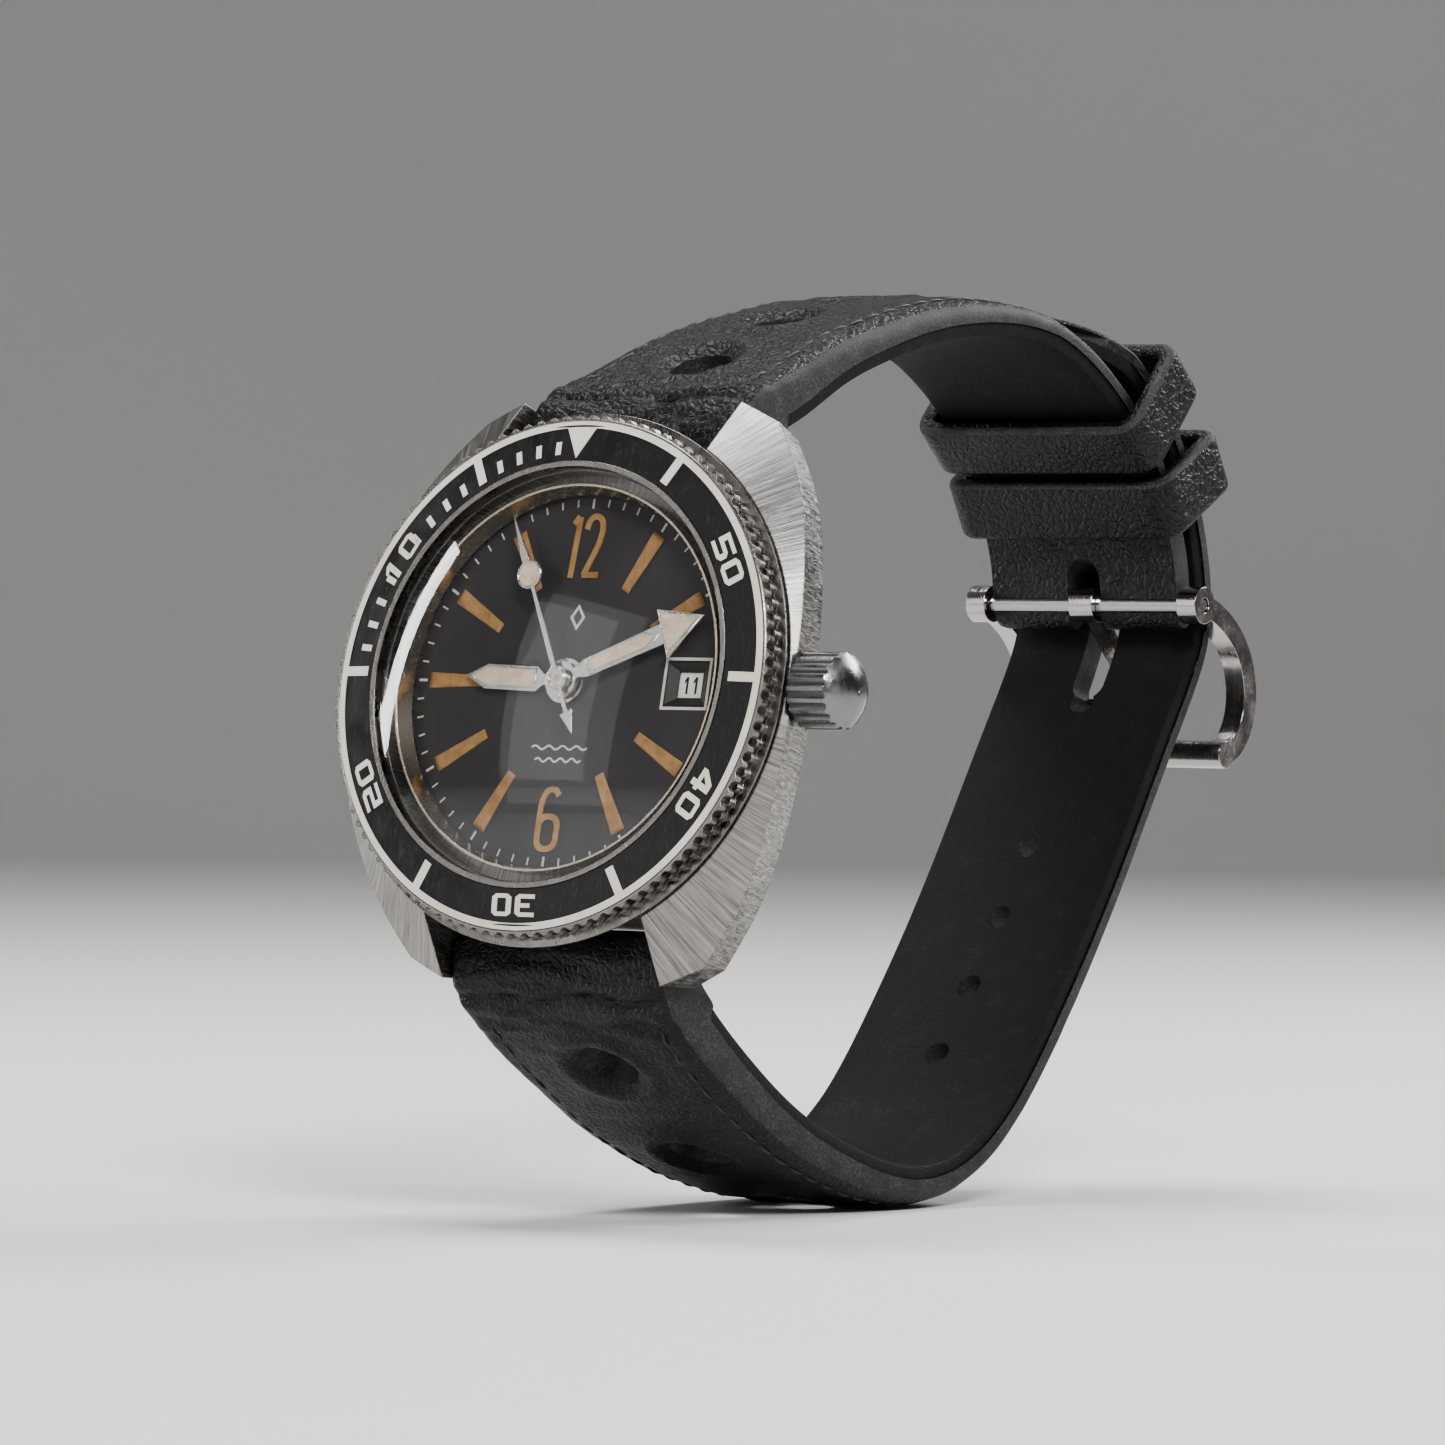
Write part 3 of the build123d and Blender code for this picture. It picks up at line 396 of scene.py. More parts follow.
def crown_grime(paint):
    """Painted shade at the bottom of the crown's flutes."""
    x, y, z = paint.parts(paint.place)
    dz = paint.minus(z, STEM_Z)
    radius = paint.radius(y, dz)
    ring = paint.times(paint.span(radius, 2.36, 2.52, 1, 0), paint.span(x, 21.5, 21.62, 1, 0))
    return paint.times(ring, 0.92)


def crystal_acrylic():
    """Clear acrylic: see-through, with a mirror of the room that grows towards the edge."""
    paint = Paint("crystal_acrylic", (1, 1, 1), 0.03, 0.0, Specular_IOR_Level=1.0)
    haze = paint.noise(0.35, 4.0, 0.6)
    hairs = scratch_lines(paint, (0.2, 0.1, 0.7), (2.0, 0.25, 1.0), 0.9, 0.6)
    rough = paint.plus(paint.span(haze, 0.35, 0.7, 0.015, 0.06), paint.times(hairs, 0.12))
    mirror = paint.node("BsdfGlossy", Color=(0.96, 0.97, 1.0, 1), Roughness=rough)
    clear = paint.node("BsdfTransparent", Color=(0.985, 0.985, 0.98, 1))
    facing = paint.node("LayerWeight", output=1, Blend=0.5)
    weight = paint.plus(0.035, paint.times(0.9, paint.math("POWER", facing, 5.0)))
    both = paint.node("MixShader", i0=weight, i1=clear, i2=mirror)
    paint.tree.links.new(both, paint.tree.nodes["Material Output"].inputs["Surface"])
    paint.tree.nodes.remove(paint.shader)
    return paint.material


def insert_black():
    paint = Paint("insert_black", (0.012, 0.012, 0.013), 0.3, 0.0, Specular_IOR_Level=0.4)
    smudge = paint.noise(0.6, 4.0, 0.6)
    hairs = scratch_lines(paint, (0.1, 0.2, 0.9), (2.6, 0.3, 1.0), 1.2)
    rough = paint.plus(paint.span(smudge, 0.3, 0.7, 0.26, 0.42), paint.times(hairs, 0.15))
    tone = paint.mix(smudge, (0.008, 0.008, 0.009), (0.018, 0.017, 0.018))
    tone = paint.mix(paint.times(hairs, 0.16), tone, (0.22, 0.21, 0.2))
    return paint.done(tone, rough, paint.soft_edges(0.06))


def print_white(name, color):
    """Old white paint: a little yellow and worn thin in spots."""
    paint = Paint(name, color, 0.42)
    wear = paint.noise(3.2, 4.0, 0.7)
    broad = paint.noise(0.35, 2.0, 0.5)
    yellowed = tuple(c * k for c, k in zip(color, (0.92, 0.88, 0.8)))
    aged = paint.mix(paint.span(broad, 0.35, 0.7), color, yellowed)
    tone = paint.mix(paint.span(wear, 0.62, 0.74, 0, 0.35), aged, (0.3, 0.28, 0.26))
    return paint.done(tone, paint.span(wear, 0.3, 0.7, 0.36, 0.55), paint.bump(wear, 0.01, 0.5))


def dial_black():
    paint = Paint("dial_black", (0.03, 0.028, 0.031), 0.5, 0.0, Specular_IOR_Level=0.45)
    grain = paint.noise(9.0, 3.0, 0.6)
    broad = paint.noise(0.16, 2.0, 0.5)
    specks = paint.span(paint.cells(0.9), 0.0, 0.035, 1, 0)
    tone = paint.mix(broad, (0.024, 0.0225, 0.025), (0.04, 0.0375, 0.041))
    tone = paint.mix(paint.times(specks, 0.4), tone, (0.14, 0.13, 0.12))
    return paint.done(tone, paint.span(grain, 0.3, 0.7, 0.42, 0.56), paint.bump(grain, 0.006, 0.4))


def lume(name, fresh, aged):
    """Luminous paint: grainy, and browned in patches where it is old."""
    paint = Paint(name, fresh, 0.7)
    patches = paint.noise(0.9, 4.0, 0.65)
    grain = paint.noise(11.0, 3.0, 0.6)
    tone = paint.mix(paint.span(patches, 0.35, 0.68), fresh, aged)
    tone = paint.mix(paint.span(grain, 0.35, 0.75, 0, 0.4), tone, tint(aged, 0.55))
    return paint.done(tone, normal=paint.bump(grain, 0.02, 0.8))


def leather(name, color, depth, roughness, grain_scale, gloss):
    """Pebbled leather: small cells, finer pores and broad creases, with a waxy top."""
    paint = Paint(name, color, roughness, 0.0, Specular_IOR_Level=gloss)
    sway = paint.node("TexNoise", output=1, Vector=paint.place, Scale=0.9, Detail=3.0)
    bent = paint.node("VectorMath", operation="ADD", i0=paint.place, i1=sway)
    pebble = paint.span(paint.cells(grain_scale, "DISTANCE_TO_EDGE", bent), 0.0, 0.22)
    pores = paint.noise(7.5, 4.0, 0.65)
    creases = paint.noise(0.55, 5.0, 0.62)
    height = paint.plus(paint.times(pebble, 0.6), paint.times(pores, 0.35))
    height = paint.plus(height, paint.times(creases, 1.1))
    worn = paint.times(paint.span(creases, 0.52, 0.72), paint.span(pebble, 0.3, 0.9, 0.2, 1.0))
    tone = paint.mix(paint.times(worn, 0.35), color, tint(color, 3.0))
    rough = paint.span(pores, 0.3, 0.7, roughness - 0.06, roughness + 0.14)
    rough = paint.minus(rough, paint.times(worn, 0.1))
    return paint.done(tone, rough, paint.bump(height, depth, 0.9))


def worn_edge():
    """The strap's cut and rubbed edge, where fibres show grey."""
    paint = Paint("strap_edge", (0.045, 0.044, 0.043), 0.6)
    fibres = paint.noise(5.5, 5.0, 0.75, 0.6)
    rubbed = paint.noise(0.6, 3.0, 0.6)
    share = paint.times(paint.span(fibres, 0.45, 0.66), paint.span(rubbed, 0.3, 0.62, 0.25, 1.0))
    tone = paint.mix(share, (0.009, 0.009, 0.009), (0.11, 0.106, 0.102))
    return paint.done(tone, paint.span(fibres, 0.3, 0.7, 0.45, 0.75), paint.bump(fibres, 0.06, 0.9))


def thread():
    paint = Paint("thread_black", (0.02, 0.02, 0.022), 0.5, 0.0, Sheen_Weight=0.1)
    twist = paint.noise(9.0, 2.0, 0.5)
    tone = paint.mix(twist, (0.008, 0.008, 0.009), (0.035, 0.034, 0.036))
    return paint.done(tone, normal=paint.bump(twist, 0.03, 0.7))


def movement_metal(name, color, roughness):
    """Plated or bare metal with a straight fine grain."""
    paint = Paint(name, color, roughness, 1.0)
    lines = paint.noise(1.0, 4.0, 0.6, vector=paint.turned((0, 0, 0), (0.5, 9.0, 0.5)))
    return paint.done(paint.mix(lines, tint(color, 0.8), color),
                      paint.span(lines, 0.3, 0.7, roughness * 0.8, roughness * 1.3),
                      paint.bump(lines, 0.01, 0.5, paint.soft_edges(0.04)))


def ruby():
    paint = Paint("jewel_ruby", (0.6, 0.02, 0.08), 0.08, 0.0, Coat_Weight=0.6)
    cloud = paint.noise(4.0, 2.0, 0.5)
    return paint.done(paint.mix(cloud, (0.45, 0.01, 0.05), (0.7, 0.03, 0.11)))


def plain(name, color, roughness):
    """Rubber, plastic or paint with a fine mottle."""
    paint = Paint(name, color, roughness)
    mottle = paint.noise(3.0, 4.0, 0.6)
    return paint.done(paint.mix(mottle, tint(color, 0.85), color),
                      paint.span(mottle, 0.3, 0.7, roughness * 0.85, min(1.0, roughness * 1.15)),
                      paint.bump(mottle, 0.01, 0.4))


# Each material, and the CAD pieces that wear it.
MATERIALS = {
    "case": (case_steel(), "mid_case"),
    "back": (movement_metal("back_steel", (0.6, 0.59, 0.57), 0.32), "case_back"),
    "bezel": (polished_steel("bezel_steel", (0.3, 0.285, 0.27), 0.22, bezel_grime, 0.5), "bezel"),
    "crown": (polished_steel("crown_steel", (0.27, 0.27, 0.28), 0.24, crown_grime, 0.5), "crown"),
    "buckle": (polished_steel("buckle_steel", (0.55, 0.53, 0.52), 0.14), "buckle_frame buckle_tongue"),
    "rehaut": (polished_steel("rehaut_steel", (0.62, 0.55, 0.45), 0.16), "crystal_ring"),
    "crystal": (crystal_acrylic(), "crystal"),
    "insert": (insert_black(), "bezel_insert"),
    "white": (print_white("print_white", (0.72, 0.70, 0.66)), ""),
    "dial": (dial_black(), "dial"),
    "dial_print": (print_white("dial_print", (0.6, 0.58, 0.55)), ""),
    "amber": (lume("lume_amber", (0.47, 0.285, 0.125), (0.28, 0.15, 0.058)), ""),
    "cream": (lume("lume_cream", (0.78, 0.66, 0.55), (0.62, 0.47, 0.36)), ""),
    "hands": (
        polished_steel("hand_steel", (0.72, 0.7, 0.68), 0.2),
        "hour_hand minute_hand seconds_hand cannon_pinion",
    ),
    "date": (plain("date_white", (0.82, 0.81, 0.78), 0.5), "date_ring"),
    "date_ink": (plain("date_ink", (0.02, 0.02, 0.022), 0.5), ""),
    "leather": (
        leather("leather_black", (0.0045, 0.0045, 0.005), 0.11, 0.4, 1.7, 0.4),
        "strap_upper strap_lower keeper_fixed keeper_free",
    ),
    "lining": (
        leather("lining_leather", (0.0085, 0.008, 0.008), 0.03, 0.62, 2.6, 0.25),
        "lining_upper lining_lower",
    ),
    "edge": (worn_edge(), ""),
    "thread": (thread(), ""),
    "rubber": (plain("rubber_black", (0.02, 0.02, 0.02), 0.6), "case_back_gasket crown_gasket"),
    "holder": (plain("holder_plastic", (0.75, 0.75, 0.72), 0.5), "movement_holder"),
    "plated": (
        movement_metal("movement_steel", (0.74, 0.73, 0.7), 0.26),
        "main_plate barrel_bridge train_bridge balance_cock pallet_bridge automatic_bridge rotor",
    ),
    "steel": (
        movement_metal("pinion_steel", (0.5, 0.5, 0.52), 0.22),
        "pendant_tube winding_stem sliding_pinion winding_pinion buckle_bar spring_bar_upper "
        "spring_bar_lower bar_tip_upper_left bar_tip_upper_right bar_tip_lower_left "
        "bar_tip_lower_right barrel_arbor ratchet_wheel click escape_wheel pallet_fork",
    ),
    "spring": (
        movement_metal("spring_steel", (0.36, 0.37, 0.42), 0.3),
        "bezel_spring bridge_screws rotor_screw mainspring hairspring",
    ),
    "brass": (
        movement_metal("wheel_brass", (0.8, 0.6, 0.28), 0.28),
        "minute_wheel hour_wheel barrel centre_wheel third_wheel fourth_wheel balance",
    ),
    "ruby": (ruby(), "jewels"),
}
M = {key: made for key, (made, _) in MATERIALS.items()}


def paint_nodes():
    for made, names in MATERIALS.values():
        for name in names.split():
            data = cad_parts[name].data
            data.materials.clear()
            data.materials.append(made)


# ---- numbers ----
DIGIT_W, DIGIT_H, DIGIT_S = 1.0, 1.4, 0.27


def digit_loops(number):
    """A squared digit's outline and holes, in a box DIGIT_W wide and DIGIT_H high."""
    w, h, s = DIGIT_W, DIGIT_H, DIGIT_S
    c = 0.2
    low, high = h / 2 - s / 2, h / 2 + s / 2

    def ring(y0, y1):
        outer = [(c, y0), (w - c, y0), (w, y0 + c), (w, y1 - c), (w - c, y1), (c, y1), (0, y1 - c),
                 (0, y0 + c)]
        return [outer, hole(y0 + s, y1 - s)]

    def hole(y0, y1):
        return [(s, y0), (w - s, y0), (w - s, y1), (s, y1)]

    shapes = {
        "0": ring(0, h),
        "1": [[(0.36, 0), (0.36 + s, 0), (0.36 + s, h), (0.38, h), (0.1, h - 0.3), (0.1, h - 0.55),
               (0.36, h - 0.36)]],
        "2": [[(0, h), (w - c, h), (w, h - c), (w, low), (s, low), (s, s), (w, s), (w, 0), (0, 0), (0, high),
               (w - s, high), (w - s, h - s), (0, h - s)]],
        "3": [[(0, h), (w - c, h), (w, h - c), (w, c), (w - c, 0), (0, 0), (0, s), (w - s, s), (w - s, low),
               (0.25, low), (0.25, high), (w - s, high), (w - s, h - s), (0, h - s)]],
        "4": [[(0.45, h), (0.88, h), (0.88, 0.6), (w, 0.6), (w, 0.32), (0.88, 0.32), (0.88, 0), (0.59, 0),
               (0.59, 0.32), (0, 0.32), (0, 0.62)],
              [(0.59, 0.6), (0.59, h - 0.36), (0.3, 0.6)]],
        "5": [[(w, h), (0, h), (0, low), (w - s, low), (w - s, s), (0, s), (0, 0), (w - c, 0), (w, c),
               (w, high - c), (w - c, high), (s, high), (s, h - s), (w, h - s)]],
        "6": [[(c, 0), (w - c, 0), (w, c), (w, high - c), (w - c, high), (s, high), (s, h - s), (w, h - s),
               (w, h), (c, h), (0, h - c), (0, c)], hole(s, low)],
        "7": [[(0, h), (w, h), (w, h - s), (0.5, 0), (0.18, 0), (w - s - 0.05, h - s), (0, h - s)]],
        "8": [ring(0, h)[0], hole(s, low), hole(high, h - s)],
    }
    if number == "9":
        return [[(w - x, h - y) for x, y in loop] for loop in shapes["6"]]
    return shapes[number]


def text_plate(text, height, thickness, gap, stretch):
    """Squared digits centred on the origin, as a thin plate."""
    scale = height / DIGIT_H
    total = len(text) * DIGIT_W + (len(text) - 1) * gap
    parts = []
    for i, letter in enumerate(text):
        x0 = i * (DIGIT_W + gap) - total / 2
        loops = [[((x + x0) * scale * stretch, (y - DIGIT_H / 2) * scale) for x, y in loop]
                 for loop in digit_loops(letter)]
        parts.append(plate(loops, thickness))
    return joined(parts)


# ---- bezel insert's paint ----
def insert_height(x, y):
    (r0, z0), (r1, z1) = INSERT_INNER, INSERT_OUTER
    return z0 + (hypot(x, y) - r0) * (z1 - z0) / (r1 - r0) + 0.004


def arc_band(r0, r1, middle, half_width, thickness, steps=6):
    """A bar of even width that runs outwards between two radii at a clock angle."""
    rows = [r0 + (r1 - r0) * n / steps for n in range(steps + 1)]
    outline = [(-half_width, r) for r in rows] + [(half_width, r) for r in rows[::-1]]
    return moved(plate([outline], thickness), middle)


def bezel_marks():
    depth = 0.03
    parts = [plate([circle(r, 240) for r in INSERT_RING[::-1]], depth)]
    for angle in (30, 90, 150, 210, 270, 330):
        parts.append(arc_band(15.04, 16.97, angle, 0.33, depth))
    for hour in (270, 300, 330):
        for n in range(1, 5):
            parts.append(arc_band(15.1, 16.02, hour + 6 * n, 0.22, depth))
    parts.append(plate([[(1.2, 16.93), (0.6, 17.0), (-0.6, 17.0), (-1.2, 16.93), (0, 14.78)]], depth))
    for text, angle in (("50", 60), ("40", 120), ("30", 180), ("20", 240), ("10", 300)):
        parts.append(moved(moved(text_plate(text, 1.5, depth, 0.2, 1.5), 0, (0, 15.76, 0)), angle))
    laid("bezel_marks", draped(joined(parts), insert_height), "bezel_unit", "insert_black", "white")


# ---- dial ----
def minute_track():
    parts = []
    for n in range(60):
        if n in (14, 15, 16):
            continue
        wide, inner = (0.09, 11.95) if n % 5 == 0 else (0.06, 12.1)
        parts.append(arc_band(inner, 12.62, 6 * n, wide, 0.02, 1))
    on_dial("minute_track", parts, "dial_print")


def baton(y0, y1, thickness, rows=14):
    """A long mark that widens outwards, with a softly domed top."""
    across = (-1.0, -0.94, -0.75, -0.4, 0.0, 0.4, 0.75, 0.94, 1.0)
    rise = (0.0, 0.55, 0.85, 0.97, 1.0, 0.97, 0.85, 0.55, 0.0)
    vertices = []
    for n in range(rows + 1):
        share = n / rows
        y = y0 + (y1 - y0) * share
        half = 0.36 + 0.2 * share
        end = min(1.0, min(share, 1 - share) * 9)
        for x, lift in zip(across, rise):
            vertices.append((x * half, y, thickness * (0.35 + 0.65 * lift * sqrt(end))))
    width = len(across)
    top = len(vertices)
    vertices += [(x, y, 0.0) for x, y, _ in vertices]
    faces = []
    for n in range(rows):
        for a in range(n * width, n * width + width - 1):
            b = a + width
            faces += [(a, a + 1, b + 1, b), (top + b, top + b + 1, top + a + 1, top + a)]
        a, b = n * width, (n + 1) * width
        faces.append((a, b, top + b, top + a))
        a, b = a + width - 1, b + width - 1
        faces.append((top + a, top + b, b, a))
    faces += [(top + k, top + k + 1, k + 1, k) for k in range(width - 1)]
    faces += [(a, a + 1, top + a + 1, top + a) for a in range(rows * width, rows * width + width - 1)]
    return vertices, [f[::-1] for f in faces]


def dial_batons():
    mark = baton(7.25, 11.7, 0.1)
    parts = [moved(mark, 30 * hour) for hour in (1, 2, 4, 5, 7, 8, 9, 10, 11)]
    on_dial("dial_batons", parts, "amber", smooth=True)


def curve_points(points, steps=10):
    """A smooth line through points, as many short steps."""
    out, ends = [], [points[0], *points, points[-1]]
    for p0, p1, p2, p3 in zip(ends, ends[1:], ends[2:], ends[3:]):
        for n in range(steps):
            t = n / steps
            out.append(tuple(
                0.5 * (2 * p1[k] + (p2[k] - p0[k]) * t + (2 * p0[k] - 5 * p1[k] + 4 * p2[k] - p3[k]) * t * t
                       + (3 * p1[k] - p0[k] - 3 * p2[k] + p3[k]) * t ** 3)
                for k in (0, 1)))
    return out + [points[-1]]


def dial_numbers():
    """A tall, narrow 12 and 6 in old lume."""
    width, depth = 0.42, 0.09
    one = [(-1.1, 7.15), (-0.86, 11.35)]
    flag = [(-1.32, 10.85), (-0.95, 11.38)]
    two = curve_points([(-0.22, 10.5), (0.0, 11.15), (0.5, 11.4), (0.98, 11.1), (1.1, 10.4), (0.92, 9.5),
                        (0.5, 8.5), (-0.02, 7.35)])
    foot = [(-0.12, 7.36), (1.2, 7.36)]
    six = curve_points([(0.62, 10.95), (0.25, 11.35), (-0.3, 11.3), (-0.66, 10.75), (-0.78, 9.8),
                        (-0.78, 8.3)])
    bowl = [[(x, y + 8.42) for x, y in rounded_box(0.98, 1.32, 0.85, 10)],
            [(x, y + 8.42) for x, y in rounded_box(0.98 - width, 1.32 - width, 0.5, 10)]]
    parts = [plate([stroke(line, width)], depth + 0.004 * k)
             for k, line in enumerate((one, flag, two, foot))]
    whole_six = joined([plate([stroke(six, width)], depth), plate(bowl, depth + 0.004)])
    on_dial("dial_numbers", parts + [moved(whole_six, 0, (0, -18.75, 0))], "amber")


def date_frame():
    """The white frame line round the window, and the dark sloping walls inside it."""
    outer = [(x + DATE_X, y) for x, y in rounded_box(1.92, 1.78, 0.05, 2)]
    inner = [(x + DATE_X, y) for x, y in rounded_box(1.72, 1.58, 0.05, 2)]
    on_dial("date_frame", [plate([outer, inner], 0.05)], "dial_print")
    rings = ((1.62, 1.38, 7.41), (1.0, 0.92, 6.95), (0.94, 0.86, 6.93), (1.0, 0.92, 6.9), (1.68, 1.44, 7.0),
             (1.68, 1.44, 7.41))
    corners = ((1, 1), (-1, 1), (-1, -1), (1, -1))
    vertices = [(DATE_X + sx * hx, sy * hy, z) for hx, hy, z in rings for sx, sy in corners]
    walls = (vertices, skin(len(rings), len(corners), closed=True))
    laid("date_window_walls", walls, "case_unit", "dial_black", "date_ink")


def date_numbers():
    """The numbers 1 to 31 on the date ring, with 11 in the window."""
    shown = 11
    parts = []
    for day in range(1, 32):
        number = moved(text_plate(str(day), 1.15, 0.02, 0.24, 0.72), 0, (9.82, 0, 6.85))
        parts.append(moved(number, (day - shown) * 360 / 31))
    laid("date_numbers", joined(parts), "date_unit", "date_white", "date_ink")


def dial_emblem():
    """A plain diamond and two fine waves, in place of any mark."""
    diamond = [[(0, 5.35), (0.62, 4.45), (0, 3.55), (-0.62, 4.45)],
               [(0, 5.02), (0.38, 4.45), (0, 3.88), (-0.38, 4.45)]]
    parts = [plate(diamond, 0.02)]
    for y, half in ((-4.5, 2.3), (-5.35, 1.9)):
        wave = [(half * (n / 30 - 1), y + 0.13 * sin(n / 60 * 2 * pi * 4)) for n in range(61)]
        parts.append(plate([stroke(wave, 0.13)], 0.02))
    on_dial("dial_emblem", parts, "dial_print")


# ---- hands ----
HANDS = {"hour": (272.0, 7.9), "minute": (68.0, 8.35), "seconds": (333.5, 8.8)}


def on_hand(hand, ending, parts, material, smooth=False):
    """Lays parts on a hand, at its clock angle and its top."""
    angle, top = HANDS[hand]
    part = moved(joined(parts), angle, (0, 0, top))
    laid(hand + ending, part, hand + "_unit", "hand_lume", material, smooth)


def hand_lumes():
    hour = [(-0.5, 2.65), (-0.55, 6.45), (0, 7.55), (0.55, 6.45), (0.5, 2.65)]
    minute = [(-0.36, 2.6), (-0.4, 7.1), (0, 7.8), (0.4, 7.1), (0.36, 2.6)]
    arrow = [(-1.36, 8.75), (0, 11.4), (1.36, 8.75)]
    disc = moved(plate([circle(0.8, 40)], 0.06), 0, (0, SECONDS_DISC_Y, 0))
    lumes = {"hour": [plate([hour], 0.07)], "minute": [plate([minute], 0.07), plate([arrow], 0.07)],
             "seconds": [disc]}
    for hand, parts in lumes.items():
        on_hand(hand, "_hand_lume", parts, "cream")


def hand_rims():
    """Raised rims round the lume, with rounded tops, and the cap in the middle."""
    hour = [(-0.68, 2.45), (-0.72, 6.55), (0, 8.0), (0.72, 6.55), (0.68, 2.45)]
    minute = [(-0.52, 2.3), (-0.57, 7.2), (0, 8.2), (0.57, 7.2), (0.52, 2.3)]
    arrow = [(-1.6, 8.6), (0, 11.75), (1.6, 8.6)]
    rims = {"hour": [stroke_rim(hour, 0.13)], "minute": [stroke_rim(minute, 0.12), stroke_rim(arrow, 0.12)],
            "seconds": [moved(hoop(0.91, 0.07), 0, (0, SECONDS_DISC_Y, 0)), hoop(0.62, 0.1)]}
    for hand, parts in rims.items():
        on_hand(hand, "_hand_rim", parts, "hands", smooth=True)


def hoop(r, thick, steps=48, around=8):
    """A thin ring with a round section, lying flat."""
    vertices = []
    for n in range(steps):
        a = 2 * pi * n / steps
        for k in range(around):
            b = 2 * pi * k / around
            reach = r + thick * cos(b)
            vertices.append((reach * cos(a), reach * sin(a), thick * sin(b)))
    return vertices, wound_back(skin(steps, around, closed=True))


def wound_back(faces):
    return [f[:1] + f[:0:-1] for f in faces]


def stroke_rim(points, width, around=6):
    """A round-topped wire along a closed outline."""
    vertices = []
    for i, (x, y) in enumerate(points):
        x0, y0 = points[i - 1]
        x1, y1 = points[(i + 1) % len(points)]
        a = Vector((x - x0, y - y0)).normalized()
        b = Vector((x1 - x, y1 - y)).normalized()
        mitre = Vector((-(a.y + b.y), a.x + b.x)).normalized()
        reach = width / 2 / max(0.35, mitre.dot(Vector((-a.y, a.x))))
        for k in range(around):
            angle = 2 * pi * k / around
            vertices.append((x + mitre.x * reach * cos(angle), y + mitre.y * reach * cos(angle),
                             width / 2 * sin(angle)))
    return vertices, wound_back(skin(len(points), around, closed=True))


# ---- straps ----
UPPER_PATH = [
    (18.0, 4.5), (20.3, 3.8), (23.3, -0.1), (26.9, -5.3), (29.9, -10.8), (32.5, -16.6),
    (34.4, -22.5), (35.6, -28.8), (35.7, -34.3), (34.5, -39.5), (32.3, -44.4), (29.2, -48.8),
    (25.6, -52.0), (22.6, -53.8), (19.4, -54.9),
]
LOWER_PATH = [
    (-18.0, 4.5), (-20.4, 4.0), (-22.4, 1.7), (-24.2, -1.8), (-25.9, -5.9), (-27.5, -10.5),
    (-28.7, -15.5), (-29.3, -20.8), (-29.4, -26.2), (-28.5, -31.6), (-26.0, -36.6), (-21.2, -41.2),
    (-14.3, -45.2), (-7.4, -48.5), (-0.9, -51.2), (5.6, -53.7), (10.5, -55.6), (14.2, -57.0),
    (18.2, -57.8), (22.5, -56.8), (26.4, -54.75), (30.6, -51.3), (34.2, -46.4), (36.2, -41.8),
    (37.3, -37.5),
]


class Route:
    """A smooth line in the plane X = 0 through points, by share of its length."""

    def __init__(self, points, side):
        knots = np.array(points, float)
        chords = np.hypot(*(knots[1:] - knots[:-1]).T)
        at = np.concatenate([[0.0], np.cumsum(chords)])
        fine = np.linspace(0, at[-1], 2000)
        self.curve = np.column_stack([self._cubic(at, knots[:, k], fine) for k in (0, 1)])
        steps = np.hypot(*(self.curve[1:] - self.curve[:-1]).T)
        self.far = np.concatenate([[0.0], np.cumsum(steps)])
        self.length = float(self.far[-1])
        self.side = side

    @staticmethod
    def _cubic(t, v, fine):
        """The natural cubic spline through (t, v), read at fine."""
        n = len(t)
        h = np.diff(t)
        system, right = np.eye(n), np.zeros(n)
        for i in range(1, n - 1):
            system[i, i - 1:i + 2] = (h[i - 1], 2 * (h[i - 1] + h[i]), h[i])
            right[i] = 6 * ((v[i + 1] - v[i]) / h[i] - (v[i] - v[i - 1]) / h[i - 1])
        m = np.linalg.solve(system, right)
        k = np.clip(np.searchsorted(t, fine, "right") - 1, 0, n - 2)
        a, b = (t[k + 1] - fine) / h[k], (fine - t[k]) / h[k]
        return (a * v[k] + b * v[k + 1]
                + ((a ** 3 - a) * m[k] + (b ** 3 - b) * m[k + 1]) * h[k] ** 2 / 6)

    def at(self, mm):
        """(point, direction along, direction away from the wrist) at a distance from the lug."""
        mm = min(max(mm, 0.0), self.length)
        i = min(int(np.searchsorted(self.far, mm)), len(self.far) - 2)
        i = max(i, 1)
        y, z = (np.interp(mm, self.far, self.curve[:, k]) for k in (0, 1))
        d = self.curve[i + 1] - self.curve[i - 1]
        d = d / hypot(*d)
        return (float(y), float(z)), (float(d[0]), float(d[1])), (-d[1] * self.side, d[0] * self.side)


